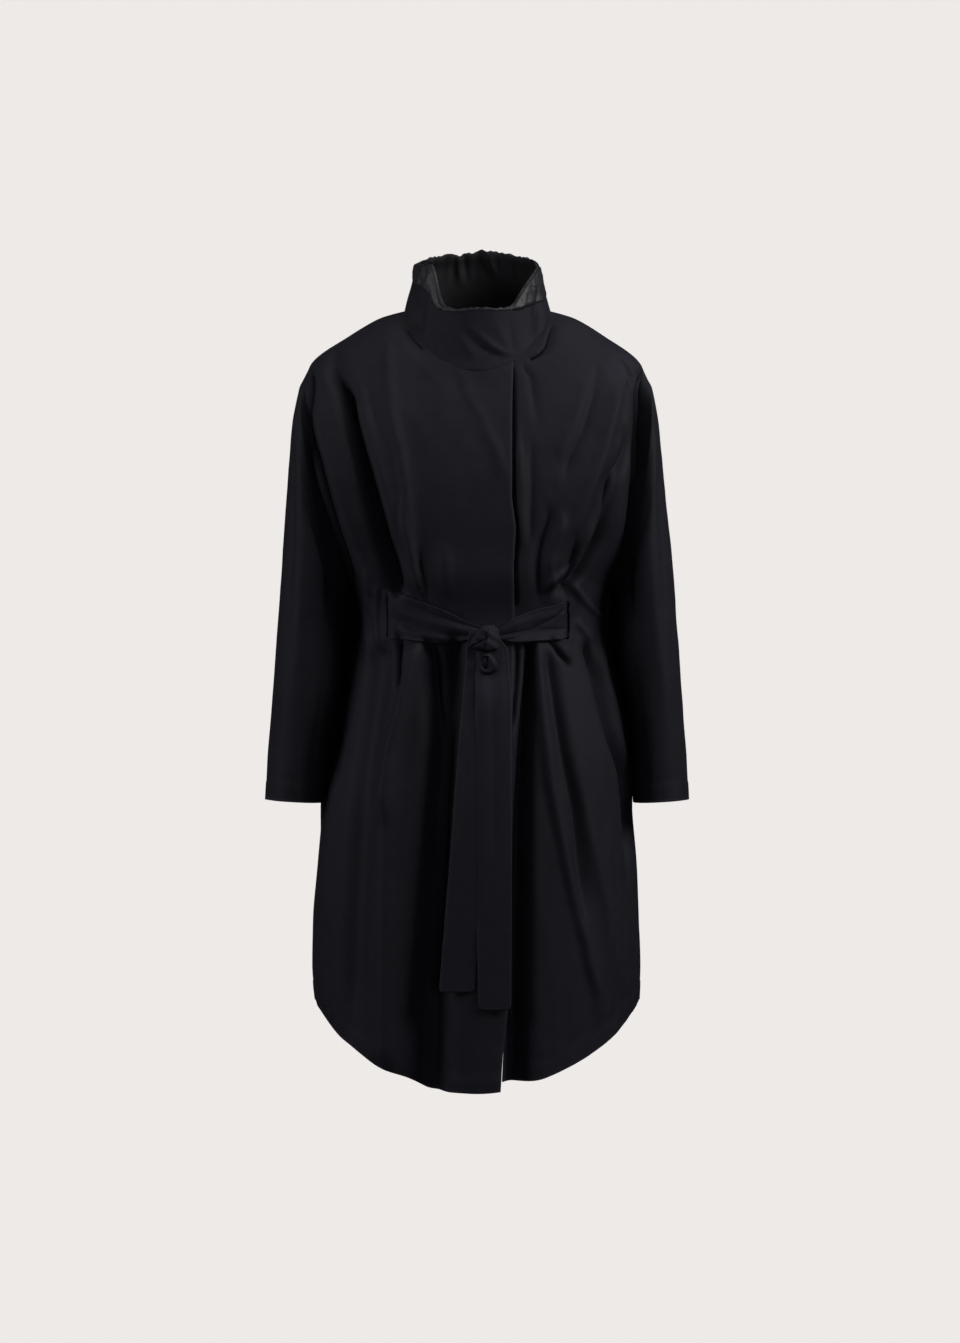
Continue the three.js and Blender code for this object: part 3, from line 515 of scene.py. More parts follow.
    def on_front(self, x: np.ndarray, z: np.ndarray, lift: Any, folds: float = 1.0) -> np.ndarray:
        """Points outside the front at given places, found by walking over the rings.

        Args:
            x: places across the coat.
            z: their heights.
            lift: how far outside the face, in mm.
            folds: share of the folds' height.

        Returns:
            Points, with x, y, z last.
        """
        x, z = np.broadcast_arrays(np.asarray(x, float), np.asarray(z, float))
        s, tau = np.full(x.shape, WAIST_ROW), x / 2.4
        for _ in range(self.walk_steps):  # a row for each 110 mm left to go, a radian for each 200 mm
            p = self.place(s, tau, lift, folds)
            s = np.clip(s + (p[..., 2] - z) / 110, 0, LAST_ROW)
            tau = tau + np.degrees((x - p[..., 0]) / 200)
        return self.place(s, tau, lift, folds)


BODY = BodyForm()
# edge of the right front, with its rounded lower corner
FRONT_EDGE: Route = ((44, -60), (43, -245), (48, -282), (45, -330), (46, -400), (43, -520), (38, -882),
                     (31, -941), (28, -989), (23, -1001))


def over(x: np.ndarray, s: np.ndarray) -> np.ndarray:
    """How far the right front rises over the left one: 3.5 mm, and more on the sloping yoke."""
    return LAP * (1 + 0.45 * (1 - smooth(s / SHOULDER_TIP))) * smooth((x + 84) / 42)


# ---- Cloth pieces -----------------------------------------------------------------------


@dataclass
class Cloth:
    """A sheet of cloth on a grid of rows and columns.

    The grid is its outer face; a wall is added to the inside. Places on it are also used
    to sew stitches along it.
    """

    name: str
    grid: np.ndarray  # rows x columns x 3, mm
    centre: np.ndarray | None = None  # what the outer face looks away from; None is the coat's upright axis
    ring: bool = False
    open_cells: np.ndarray | None = None
    wall: float = 1.6
    worn: Any = 0.0  # 0..1 paleness at each point: wear, strongest on turned edges, and painted sheen where highlights are painted in
    normals: np.ndarray = field(init=False)
    uv: np.ndarray = field(init=False)
    flip: bool = field(init=False)  # the grid's own normals point inwards

    def __post_init__(self) -> None:
        """Works out the outward normals and the lengths along the cloth."""
        g = self.grid
        down = np.gradient(g, axis=0)
        across = (np.roll(g, -1, 1) - np.roll(g, 1, 1)) / 2 if self.ring else np.gradient(g, axis=1)
        n = unit(np.cross(across, down))
        centre = g * [0, 0, 1] if self.centre is None else self.centre
        self.flip = bool(np.mean(np.sum(n * (g - centre), -1)) < 0)
        self.normals = -n if self.flip else n
        self.uv = np.stack([lengths(g, 1), lengths(g, 0)], -1)

    def at(self, row: Any, col: Any, lift: float = 0.0) -> tuple[np.ndarray, np.ndarray]:
        """Places on the cloth, blended from the four grid points around each.

        Args:
            row: grid rows, whole or between.
            col: grid columns, whole or between.
            lift: how far outside the cloth, in mm.

        Returns:
            Points and outward normals.
        """
        rows, cols = self.grid.shape[:2]
        row, col = np.broadcast_arrays(np.asarray(row, float), np.asarray(col, float))
        i = np.clip(np.floor(row).astype(int), 0, rows - 2)
        j = np.floor(col).astype(int) if self.ring else np.clip(np.floor(col).astype(int), 0, cols - 2)
        fi, fj = (row - i)[..., None], (col - j)[..., None]
        j0, j1 = j % cols, (j + 1) % cols

        def mix(a: np.ndarray) -> np.ndarray:
            """Bilinear blend of an array over the grid."""
            near, far = (a[i, k] * (1 - fi) + a[i + 1, k] * fi for k in (j0, j1))
            return near * (1 - fj) + far * fj

        n = unit(mix(self.normals))
        return mix(self.grid) + n * lift, n

    def build(self, material: bpy.types.Material, slot: Slot = Slot.SHELL) -> bpy.types.Object:
        """Makes the mesh with UVs in metres, adds the wall and the material, and rides it on the coat.

        Args:
            material: its finish.
            slot: not used.

        Returns:
            The piece.
        """
        rows, cols = self.grid.shape[:2]
        corners = cells(rows, cols if self.ring else cols - 1, self.open_cells)
        if self.flip:
            corners.reverse()
        faces = np.stack([a * cols + b % cols for a, b in corners], 1)
        uv = self.uv
        if self.ring:
            closing = np.linalg.norm(self.grid[:, :1] - self.grid[:, -1:], axis=-1)
            uv = np.concatenate([uv, np.stack([uv[:, -1:, 0] + closing, uv[:, :1, 1]], -1)], 1)
        loops = np.stack([uv[a, b] for a, b in corners], 1).reshape(-1, 2) * MM
        piece = make_mesh(self.name, self.grid.reshape(-1, 3), faces.tolist(), loops)
        # paleness at each point: wear on turned edges, and painted sheen on the knot, the upper tail and a
        # shoulder tip
        layer = piece.data.attributes.new("worn", "FLOAT", "POINT")
        layer.data.foreach_set("value", np.broadcast_to(self.worn, (rows, cols)).ravel().astype(np.float32))
        drop_loose(piece)
        if self.wall:
            solid = piece.modifiers.new("Wall", "SOLIDIFY")
            solid.thickness, solid.offset, solid.use_rim = self.wall * MM, -1.0, True
        finish(piece, material)
        return piece


def cells(rows: int, spans: int, left_out: np.ndarray | None = None) -> list[tuple[np.ndarray, np.ndarray]]:
    """Corners of all cells of a grid, in turn round each cell.

    Args:
        rows: rows of points.
        spans: cells in a row.
        left_out: cells that stay open.

    Returns:
        Four pairs of row numbers and column numbers.
    """
    i, j = np.meshgrid(np.arange(rows - 1), np.arange(spans), indexing="ij")
    if left_out is not None:
        i, j = i[~left_out], j[~left_out]
    i, j = i.ravel(), j.ravel()
    return [(i, j), (i + 1, j), (i + 1, j + 1), (i, j + 1)]


def link(name: str, data: bpy.types.ID) -> bpy.types.Object:
    """Adds an object to the scene.

    Args:
        name: its name.
        data: the mesh, light or camera that it holds.

    Returns:
        The object, at the origin.
    """
    made = bpy.data.objects.new(name, data)
    bpy.context.scene.collection.objects.link(made)
    return made


def make_mesh(name: str, points: np.ndarray, faces: list[list[int]],
              uv: np.ndarray | None = None) -> bpy.types.Object:
    """Puts arrays into a new smooth-shaded mesh object.

    Args:
        name: object name.
        points: corners in mm.
        faces: corner numbers of each face.
        uv: texture places, one a face corner.

    Returns:
        The object, linked to the scene.
    """
    mesh = bpy.data.meshes.new(name)
    mesh.from_pydata((points * MM).tolist(), [], faces)
    if uv is not None:
        mesh.uv_layers.new(name="cloth").data.foreach_set("uv", uv.ravel().astype(np.float32))
    mesh.polygons.foreach_set("use_smooth", np.ones(len(mesh.polygons), bool))
    mesh.update()
    return link(name, mesh)


def drop_loose(piece: bpy.types.Object) -> None:
    """Removes points that no face uses, as inside a slit.

    Args:
        piece: the mesh object to clean.
    """
    bm = bmesh.new()
    bm.from_mesh(piece.data)
    loose = [v for v in bm.verts if not v.link_faces]
    if loose:
        bmesh.ops.delete(bm, geom=loose, context="VERTS")
        bm.to_mesh(piece.data)
    bm.free()


def finish(piece: bpy.types.Object, material: bpy.types.Material) -> None:
    """Gives a piece its material and lets it ride on the coat.

    Args:
        piece: the finished mesh object.
        material: what it is made of.
    """
    piece.data.materials.append(material)
    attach(piece, "root")
    log.info("%s: %d faces", piece.name, len(piece.data.polygons))


@dataclass(frozen=True)
class Stitching:
    """A row of lockstitches: spindle-shaped threads laid end to end, a little apart."""

    pitch: float = 4.4
    length: float = 3.2
    radius: float = 0.32
    sides: int = 5
    rings: Profile = (0.0, 0.18, 0.5, 0.82, 1.0)  # shares of a thread's length
    tip: float = 0.25  # radius at the ends against the middle

    def sew(self, name: str, lines: Sequence[tuple[np.ndarray, np.ndarray]],
            material: bpy.types.Material) -> bpy.types.Object:
        """Sews along lines on the cloth.

        A thread's ring at a share of its length has the radius r * sin(pi * share), and its
        middle stands a third of the radius off the cloth.

        Args:
            name: the piece's name.
            lines: points and normals of each line, in mm.
            material: the thread.

        Returns:
            One piece with every stitch.
        """
        centres, ups, ways = [], [], []
        for points, normals in lines:
            at = np.concatenate([[0], np.cumsum(np.linalg.norm(np.diff(points, axis=0), axis=1))])
            marks = np.arange(self.pitch / 2, at[-1], self.pitch)
            before, here, after = (spaced(points, marks + k, at) for k in (-1, 0, 1))
            centres.append(here)
            ways.append(unit(after - before))
            ups.append(unit(spaced(normals, marks, at)))
        # stitches x rings x sides x 3
        c, n, t = (np.concatenate(a)[:, None, None] for a in (centres, ups, ways))
        share = np.array(self.rings)[None, :, None, None]
        turn = (np.arange(self.sides) * 2 * np.pi / self.sides)[None, None, :, None]
        radius = self.radius * np.maximum(np.sin(np.pi * share), self.tip)
        round_it = (np.cross(t, n) * np.cos(turn) + n * np.sin(turn)) * radius
        points = c + t * ((share - 0.5) * self.length) + round_it + n * self.radius * 0.35
        rings, sides = len(self.rings), self.sides
        corner, *others = cells(rings, sides)
        tube = np.stack([i * sides + j % sides for i, j in (corner, *reversed(others))], 1)
        caps = np.array([range(sides)[::-1], range((rings - 1) * sides, rings * sides)])
        first = (np.arange(len(c)) * rings * sides)[:, None, None]
        faces = [f for part in (tube, caps) for f in (part[None] + first).reshape(-1, part.shape[1]).tolist()]
        piece = make_mesh(name, points.reshape(-1, 3), faces)
        finish(piece, material)
        return piece


# ---- Fronts and back --------------------------------------------------------------------


def rows_of(count: int) -> np.ndarray:
    """Grid rows over the body, closer together at both ends of the armhole.

    Args:
        count: how many.

    Returns:
        The rows as one column.
    """
    rows = np.linspace(0, 1, count) * LAST_ROW
    for end in (SHOULDER_TIP, UNDERARM):
        rows = rows + 0.16 * (rows - end) * -bump(rows - end, 0.35)
    return np.sort(rows)[:, None]


def seam_angle(s: np.ndarray, clearance: float) -> np.ndarray:
    """A side seam's clearance at rows s as an angle; it is three times as wide at the neck seam."""
    return np.degrees(clearance * (3 - 2 * smooth(s / 1.5)) / column(BODY.front, s))


@dataclass(frozen=True)
class Slit:
    """Upright opening through which the belt goes inside."""

    half: float  # half its width
    top: float
    bottom: float  # heights of its ends


@dataclass
class Fronts:
    """The two fronts: the right one laps over the left one, each with a belt slit."""

    rows: int = 230
    columns: int = 104
    lap_columns: int = 12  # of the left front, under the right one
    seam: float = 0.015  # clearance of a side seam, in mm
    right_slit: Slit = Slit(1.3, -366.0, -418.0)
    left_slit: Slit = Slit(2.4, -374.0, -421.0)
    welt: float = 7.0  # width of the stitched band round a slit
    hem_gap: float = 9.0  # how far the fronts part at the hem
    parts_from: float = 12.4  # ring row from which they part, over the next few rows
    parts_over: float = 4.0

    def side(self, s: np.ndarray) -> np.ndarray:
        """Angle of the side or armhole edge at rows s, with the seam's clearance."""
        return 90 - BODY.armhole(s) - seam_angle(s, self.seam)

    def edge_x(self, s: np.ndarray) -> np.ndarray:
        """x of the right front's edge at rows s."""
        xs, zs = np.array(FRONT_EDGE, float).T
        return np.interp(-BODY.place(s, 8.0)[..., 2], -zs, xs)

    def details(self, base: np.ndarray, hem: np.ndarray, edge: np.ndarray) -> np.ndarray:
        """Thick hem, turned front edge and slit welt, as heights on the cloth.

        Each stands a little proud up to its stitch line, where the thread pulls a groove.

        Args:
            base: points of the panel.
            hem: length from each point to the hem.
            edge: length from each point to the front edge.

        Returns:
            Heights in mm.
        """
        x, y, z = np.moveaxis(base, -1, 0)
        turned = 0.2 * smooth((FRONT_STITCH - edge) / 2.5) - 0.25 * bump(edge - FRONT_STITCH, 1.5)
        reach = self.slit_reach(x, z)
        welt = 0.8 * smooth((self.welt - reach) / 2.0) - 0.4 * bump(reach - self.welt, 1.4)
        return turned_band(hem, HEM_BAND) + turned + welt * (y < 0)

    def slit_reach(self, x: np.ndarray, z: np.ndarray) -> np.ndarray:
        """How far outside the slit of its own side a place lies.

        Args:
            x: places across the coat.
            z: their heights.

        Returns:
            Distances in mm, below 0 inside the slit.
        """
        pairs = zip(astuple(self.right_slit), astuple(self.left_slit))
        half, top, bottom = (np.where(x < 0, a, b) for a, b in pairs)
        return np.maximum(np.abs(np.abs(x) - SLIT_X) - half, np.maximum(z - top, bottom - z))

    def cells_of_slit(self, grid: np.ndarray) -> np.ndarray:
        """Grid cells that fall inside the slit."""
        mid = (grid[:-1, :-1] + grid[1:, 1:]) / 2
        return (self.slit_reach(mid[..., 0], mid[..., 2]) < 0) & (mid[..., 1] < 0)

    def across(self, s: np.ndarray, edge: np.ndarray, side: np.ndarray, sign: int) -> np.ndarray:
        """Angles from the front edge to the side, with columns on both lips of the slit.

        Args:
            s: ring rows.
            edge: angles of the front edge at the rows.
            side: angles of the side at the rows.
            sign: 1 for the left front and -1 for the right.

        Returns:
            Angles, rows x columns.
        """
        near, far = (float(np.interp(WAIST_ROW, s[:, 0], line[:, 0])) for line in (edge, side))
        half = (self.right_slit if sign < 0 else self.left_slit).half
        lips = BODY.angle_at(np.full(2, WAIST_ROW), sign * (SLIT_X + np.array([-1, 1]) * half))
        a, b = np.sort((lips - near) / (far - near))
        before = int(round(a * (self.columns - 3)))
        share = np.concatenate([np.linspace(0, a, before, endpoint=False),
                                np.linspace(a, b, 3, endpoint=False),
                                np.linspace(b, 1, self.columns - before - 3)])
        return edge + (side - edge) * share[None, :]

    def right(self) -> Cloth:
        """The right front, from its edge at the middle round to the side.

        Returns:
            The sheet, its hem a little lower towards the middle.
        """
        s = rows_of(self.rows)
        tau = self.across(s, BODY.angle_at(s, self.edge_x(s)), -self.side(s), -1)
        base = BODY.place(s, tau)
        cloth = self.cut("coat_front_right", s, tau, over(base[..., 0], s), 11)
        cloth.grid[..., 2] += self.near_hem(s) * (self.corner(tau, 5.0) - 9 * bump(base[..., 0] + 60, 24))
        return cloth

    def left(self) -> Cloth:
        """The left front, from under the right one round to the side.

        Returns:
            The sheet; towards the hem it parts from the right front's edge.
        """
        s = rows_of(self.rows)
        parted = smooth((s - self.parts_from) / self.parts_over)
        under = BODY.angle_at(s, self.edge_x(s))
        edge = BODY.angle_at(s, self.edge_x(s) + self.hem_gap * parted)
        start = edge - 4 * (under + self.side(s)) / 22 * (1 - 0.93 * parted)
        lap = np.linspace(0, 1, self.lap_columns, endpoint=False)
        tau = np.concatenate([start + (edge - start) * lap, self.across(s, edge, self.side(s), 1)], 1)
        x, _, z = np.moveaxis(BODY.place(s, tau), -1, 0)
        sunk = sum(f.height(x, z, np.ones_like(tau)) for f in Wardrobe.LEFT_ALONE)
        cloth = self.cut("coat_front_left", s, tau, sunk, 23)
        rise = 1.5 * smooth((90 - tau) / 25) + 7.5 * smooth((23 - tau) / 15) + self.corner(tau, 4.0)
        cloth.grid[..., 2] += self.near_hem(s) * rise
        return cloth

    @staticmethod
    def corner(tau: np.ndarray, rise: float) -> np.ndarray:
        """Rise of the hem towards its side corner, over 50 to 90 degrees and 0 at the seam itself."""
        return rise * smooth((np.abs(tau) - 50) / 15) * smooth((90 - np.abs(tau)) / 12)

    @staticmethod
    def near_hem(s: np.ndarray) -> np.ndarray:
        """Share of a hem's rise that rows s take: the cube of a smooth step from underarm to hem."""
        return smooth((s - UNDERARM) / (LAST_ROW - UNDERARM)) ** 3

    def cut(self, name: str, s: np.ndarray, tau: np.ndarray, lift: np.ndarray, seed: int) -> Cloth:
        """Makes a front from its angles, with the sewn details and the crumple.

        Args:
            name: the piece's name.
            s: ring rows.
            tau: angles, rows x columns.
            lift: how far it stands outside the body's face.
            seed: for the crumple.

        Returns:
            The sheet, open inside its slit.
        """
        base = BODY.place(s, tau)
        x, y, z = np.moveaxis(base, -1, 0)
        down, run = lengths(base, 0), lengths(base, 1)
        hem = down[-1:] - down
        calm = 1 - 0.85 * bump(z - WAIST_Z, 30, 4) * (np.abs(x) < 124)  # the belt smooths the cloth
        seams = smooth((run[:, -1:] - run) / 14) * smooth(down / 14)
        fine = Crumple(seed).field(x + 2 * y, z) * calm * seams
        grid = BODY.place(s, tau, lift + self.details(base, hem, run) * smooth(down / 12) + fine)
        shoulder_glint = bump(x - 186, 17, 3) * bump(z + 74, 17, 3)  # painted highlight: the left shoulder's tip is painted pale for the light that it catches
        worn = np.maximum(np.maximum(bump(hem, 3), bump(run, 3)), shoulder_glint)
        return Cloth(name, grid, open_cells=self.cells_of_slit(grid), worn=worn)


@dataclass
class Back:
    """The back, from armhole to armhole."""

    rows: int = 180
    columns: int = 150
    seam: float = 0.015
    yoke_z: float = -118.0  # height of the yoke seam at the middle
    yoke_sag: float = 0.0009  # it sinks by this times x squared

    def sheet(self) -> Cloth:
        """The back panel with its turned hem, yoke seam and crumple.

        The yoke seam is a groove along a shallow parabola below the shoulders.

        Returns:
            The sheet.
        """
        s = rows_of(self.rows)
        gap = seam_angle(s, self.seam)
        start, end = 90 + BODY.armhole(s) + gap, 270 - BODY.armhole(s) - gap
        tau = start + (end - start) * np.linspace(0, 1, self.columns)[None, :]
        base = BODY.place(s, tau)
        x, z = base[..., 0], base[..., 2]
        down = lengths(base, 0)
        hem = down[-1:] - down
        share = (tau - start) / (end - start)
        seams = smooth(np.minimum(share, 1 - share) / 0.05) * smooth(down / 14)
        fine = Crumple(37).field(x, z) * seams
        yoke = -0.7 * bump(z - self.yoke_z + self.yoke_sag * x**2, 1.8)
        grid = BODY.place(s, tau, turned_band(hem, HEM_BAND) + fine + yoke * seams)
        return Cloth("coat_back", grid, worn=bump(hem, 3))


# ---- Sleeves ----------------------------------------------------------------------------


@dataclass(frozen=True)
class SleeveFold:
    """A fold on a tube: rings it runs over and its place round the tube, in degrees."""

    rings: tuple[float, float]
    around: tuple[float, float]
    half: float
    depth: float
    sharp: float = 1.7

    def height(self, ring: np.ndarray, around: np.ndarray) -> np.ndarray:
        """depth * sin(pi * run)^1.2 * exp(-|off / half|^sharp), run being the share of the way.

        Args:
            ring: rings of the places.
            around: their angles round the tube.

        Returns:
            Heights in mm.
        """
        run = np.clip((ring - self.rings[0]) / (self.rings[1] - self.rings[0]), 0, 1)
        off = around - self.around[0] - run * (self.around[1] - self.around[0])
        return self.depth * np.sin(np.pi * run) ** 1.2 * bump(off, self.half, self.sharp)


@dataclass
class Sleeve:
    """One sleeve: sloping rings that start on the armhole and end at the open cuff."""

    FOLDS: ClassVar[tuple[SleeveFold, ...]] = (
        SleeveFold((1, 5.5), (150, 118), 14, -7),
        SleeveFold((2, 8.5), (96, 70), 17, 5),
        SleeveFold((1, 6), (48, 62), 13, -4),
        SleeveFold((5, 10), (128, 120), 15, -5),
        SleeveFold((1, 6), (212, 246), 15, -7),
        SleeveFold((3, 9), (276, 292), 17, 5),
    )

    sign: int  # 1 for the left sleeve and -1 for the right
    name: str
    outer: Profile  # distance of the outer side from the middle, ring by ring
    inner: Profile
    rings: int = 150
    around: int = 112
    square: float = 0.72  # power of the sine and cosine in the squarer quarter
    lean: float = -14.0  # the cuff hangs this far in front of the armhole
    fit: float = 0.994  # share of the armhole that the sleeve's first ring fills
    girth: float = 62.0  # radius by which turns are laid out flat for the crumple
    outer_z: Profile = (-87, -124, -180, -245, -310, -376, -444, -509, -571, -627)
    inner_z: Profile = (-355, -362, -375, -393, -418, -452, -490, -535, -585, -631)
    bow: Profile = (17, 18, 14, 10, 7, 4, 2, 0, 0, 0)
    front: Profile = (76, 79, 79, 77, 73, 69, 66, 63, 60, 58)
    back: Profile = (68, 72, 74, 73, 71, 68, 65, 62, 60, 58)

    def surface(self, ring: np.ndarray, turn: np.ndarray, lift: np.ndarray) -> np.ndarray:
        """Points of the sleeve's outer face.

        A ring is an ellipse in a sloping plane, bowed outwards by bow * |sin(turn)|; between
        ring 0, which lies on the armhole, and ring 1 the points run straight. The quarter
        between the front and the body side is squarer than an ellipse.

        Args:
            ring: rings, 0 on the armhole and 10 at the cuff.
            turn: degrees, 0 outside, 90 front, 180 body side, 270 back.
            lift: how far outside the face, in mm.

        Returns:
            Points, with x, y, z last.
        """
        row = np.maximum(ring - 1, 0)
        a = np.radians(turn)
        front = np.sin(a) >= 0
        depth = np.where(front, column(self.front, row), column(self.back, row))
        power = np.where(front & (np.cos(a) < 0), self.square, 1.0)
        sin, cos = (np.sign(v) * np.abs(v) ** power for v in (np.sin(a), np.cos(a)))
        x0, x1 = column(self.outer, row), column(self.inner, row)
        z0, z1 = column(self.outer_z, row), column(self.inner_z, row)
        y = self.lean * row / (len(self.front) - 1) - depth * sin
        x = (x0 + x1) / 2 + column(self.bow, row) * np.abs(sin) + (x0 - x1) / 2 * cos
        z = (z0 + z1) / 2 + (z0 - z1) / 2 * cos
        way = unit(np.stack([np.cos(a) * depth, -np.sin(a) * (x0 - x1) / 2, np.zeros_like(a)], -1))
        folds = sum(f.height(ring, turn) for f in self.FOLDS)
        tube = np.stack([x, y, z], -1) + way * (folds * smooth(ring) + lift)[..., None]
        tube[..., 0] *= self.sign
        s = ARMHOLE_MIDDLE - ARMHOLE_HALF * self.fit * np.cos(a)
        reach = (90 - np.where(front, 1, -1) * BODY.armhole(s) * self.fit) * self.sign
        hole = BODY.place(s, reach)
        share = np.clip(ring, 0, 1)[..., None]
        return hole * (1 - share) + tube * share

    def sheet(self) -> Cloth:
        """The sleeve with its turned cuff and crumple.

        Returns:
            The sheet, a ring closed on itself.
        """
        ring = (np.linspace(0, 1, self.rings) ** 0.92 * 10)[:, None]
        turn = (np.arange(self.around) * 360 / self.around)[None, :]
        ring, turn = np.broadcast_arrays(ring, turn)
        down = lengths(self.surface(ring, turn, np.zeros(ring.shape)), 0)
        cuff = down[-1:] - down
        fine = Crumple(53 + self.sign, 0.6, upright=1.6).field(self.girth * np.radians(turn), down)
        grid = self.surface(ring, turn, turned_band(cuff, CUFF_BAND) + fine * smooth(down / 16))
        centre = (grid.min(1, keepdims=True) + grid.max(1, keepdims=True)) / 2
        return Cloth(self.name, grid, centre, ring=True, worn=bump(cuff, 3))


# ---- Collar -----------------------------------------------------------------------------


# heights outwards and upwards of a collar ply, at height shares and angles
Relief = Callable[[np.ndarray, np.ndarray], tuple[np.ndarray, np.ndarray]]


@dataclass
class Collar:
    """Stand collar of two plies, its right end lapped over the left one at the front."""

    rows: int = 56
    columns: int = 300
    flap_rows: int = 26
    flat: tuple[float, float] = (0.52, 0.080)  # the outer ply laid flat, in m
    lining_flat: tuple[float, float] = (0.54, 0.080)
    lining_inset: float = 2.5  # how far inside the outer ply the lining lies
    lining_rise: float = 1.0  # how far above it its top edge stands
    lap: float = 6.0  # how far the right end stands outside the left one
    start_x: float = 45.0
    end_x: float = -28.0
    # how far the top edge stands above its oval, by angle, in degrees and mm
    edge: Route = (
        (-180, 4), (-174, 1), (-168, 4), (-161, -2), (-154, 3), (-140, 2), (-122, 1), (-104, 2), (-90, 3),
        (-75, 15), (-60, 34), (-50, 45), (-45, 47), (-42, 42), (-39, 27), (-35, 12), (-31, 2), (-26, 0),
        (26, 0), (34, 1), (45, 13), (55, 18), (66, 15), (76, 8), (88, -1), (98, -1), (110, 2), (127, 3),
        (145, 2.5), (158, 4), (164, 5), (170, 2), (176, 7), (180, 4))
    # angle and depth of the turned-over facing, in degrees and mm
    flap: Route = (
        (-180, 2), (-112, 3), (-100, 10), (-88, 21), (-76, 24), (-62, 28), (-50, 35), (-44, 36), (-38, 22),
        (-33, 7), (-26, 2), (26, 2), (34, 3), (44, 17), (55, 29), (72, 38), (86, 38), (96, 26), (106, 9),
        (118, 3), (180, 2))
    # heights, half width and depths of the ovals, from the neck seam to the top edge
    front_z: Profile = (-78, -60, -31, -1)
    side_z: Profile = (5, 22, 41, 63)
    back_z: Profile = (14, 34, 62, 85.5)
    half: Profile = (93.5, 89, 83.5, 79.5)
    front: Profile = (84, 79.5, 77.5, 76.5)
    back: Profile = (60, 60, 61, 62)

    def surface(self, t: np.ndarray, tau: np.ndarray, inset: Any, rise: Any) -> np.ndarray:
        """Points of a ply: ovals stacked from the neck seam up, wider where the right end laps over.

        Args:
            t: height shares, 0 at the neck seam and 1 at the top edge.
            tau: angles, 0 front and 90 left.
            inset: how far inside the collar's face, in mm.
            rise: how far above the oval's own height, in mm.

        Returns:
            Points, with x, y, z last.
        """
        t, tau = np.broadcast_arrays(t, tau)
        a = np.radians(tau)
        sin, cos = np.sin(a), np.cos(a)
        row = np.clip(t, 0, 1) * 3
        depth = np.where(cos > 0, column(self.front, row), column(self.back, row))
        grow = self.lap * smooth((tau + 75) / 75) - inset
        side = column(self.side_z, row)
        dip = np.abs(cos) ** BODY.neck_dip
        level = dip + t * (np.sin(np.pi / 2 * dip) - dip)  # rounder in front towards the top
        fall = np.where(cos > 0, level, np.abs(cos) ** (BODY.neck_dip - 0.3 * t))
        end = np.where(cos > 0, column(self.front_z, row), column(self.back_z, row))
        z = side + (end - side) * fall + rise
        return np.stack([(column(self.half, row) + grow) * sin, -(depth + grow) * cos, z], -1)

    def ply(self, name: str, inset: float, rise: float, relief: Relief, wall: float) -> Cloth:
        """One ply, from its right end at the front round the back to its left end.

        Args:
            name: the piece's name.
            inset: how far inside the collar's face, in mm.
            rise: how far its top edge stands above the collar's, in mm.
            relief: gives heights outwards and upwards at (t, tau).
            wall: its thickness.

        Returns:
            The sheet, its first row at the top.
        """
        start, end = (float(BODY.angle_at(np.array(0.0), x)) for x in (self.start_x, self.end_x))
        tau = np.linspace(start, end - 360, self.columns)[None, :]
        t = np.linspace(0, 1, self.rows)[:, None]
        outward, upward = relief(t, tau)
        tucked = 0.12 * (1 - smooth(t / 0.06))  # the seam draws the lowest rows in
        raised = -1.4 + 2.0 * smooth(t / 0.1) + t * rise + upward
        grid = self.surface(t, tau, inset - outward - tucked, raised)[::-1].copy()
        return Cloth(name, grid, wall=wall, worn=smooth((t - 0.9) / 0.1)[::-1])

    def rim(self, tau: np.ndarray) -> np.ndarray:
        """Ups and downs of the top edge: the steps of `edge`, rounded over 4 degrees, and small waves.

        Args:
            tau: angles.

        Returns:
            Heights in mm.
        """
        angles, rise = np.array(self.edge, float).T
        steps = sum(np.interp(facing(tau) + k, angles, rise) for k in (-2.0, -0.7, 0.7, 2.0)) / 4
        return steps + 0.5 * np.sin(np.radians(tau * 5.3 + 20)) + 0.4 * np.sin(np.radians(tau * 11.7 + 80))

    def outer_relief(self, t: np.ndarray, tau: np.ndarray) -> tuple[np.ndarray, np.ndarray]:
        """Outer ply: slanting creases at the front lap, deep pinches and puffs at both sides.

        Each crease is a bell across a line of the cloth, angle = at + slope * t, so it slants.

        Args:
            t: height shares.
            tau: angles.

        Returns:
            Heights outwards and upwards, in mm.
        """
        turn = facing(tau)
        steep, low = 58 * (0.61 - t), 1 - t
        slant = 2.8 * bump(turn - 3 - steep, 4, 1.6) - 2.6 * bump(turn + 5 - steep, 4.5, 1.5)
        slant = (slant + 1.6 * bump(turn + 14 - 40 * (0.6 - t), 5, 1.6)) * bump(t - 0.42, 0.26)
        slant = slant + 1.0 * bump(turn - 10 - 24 * low, 4, 1.6) - 1.0 * bump(turn + 17 - 26 * low, 6, 1.5)
        slant = slant - 1.6 * bump(turn - 32 + 6 * t, 5, 1.6)
        pinch = -6.5 * bump(turn - 52 - 14 * t, 5, 1.6) * bump(t - 0.38, 0.3)
        pinch = pinch - 6.5 * bump(turn + 60 - 12 * t, 6, 1.6) * bump(t - 0.3, 0.26)
        puffed = 2.4 * (bump(turn - 70, 11) + bump(turn + 42, 11)) * bump(t - 0.42, 0.3)
        dents = 0.5 * np.sin(np.radians(tau * 3.1 + 50 * t + 30)) * bump(t - 0.45, 0.35)
        outward = slant * bump(t - 0.5, 0.36) + pinch + puffed + dents
        return outward * smooth(t / 0.2), self.rim(tau) * t**3

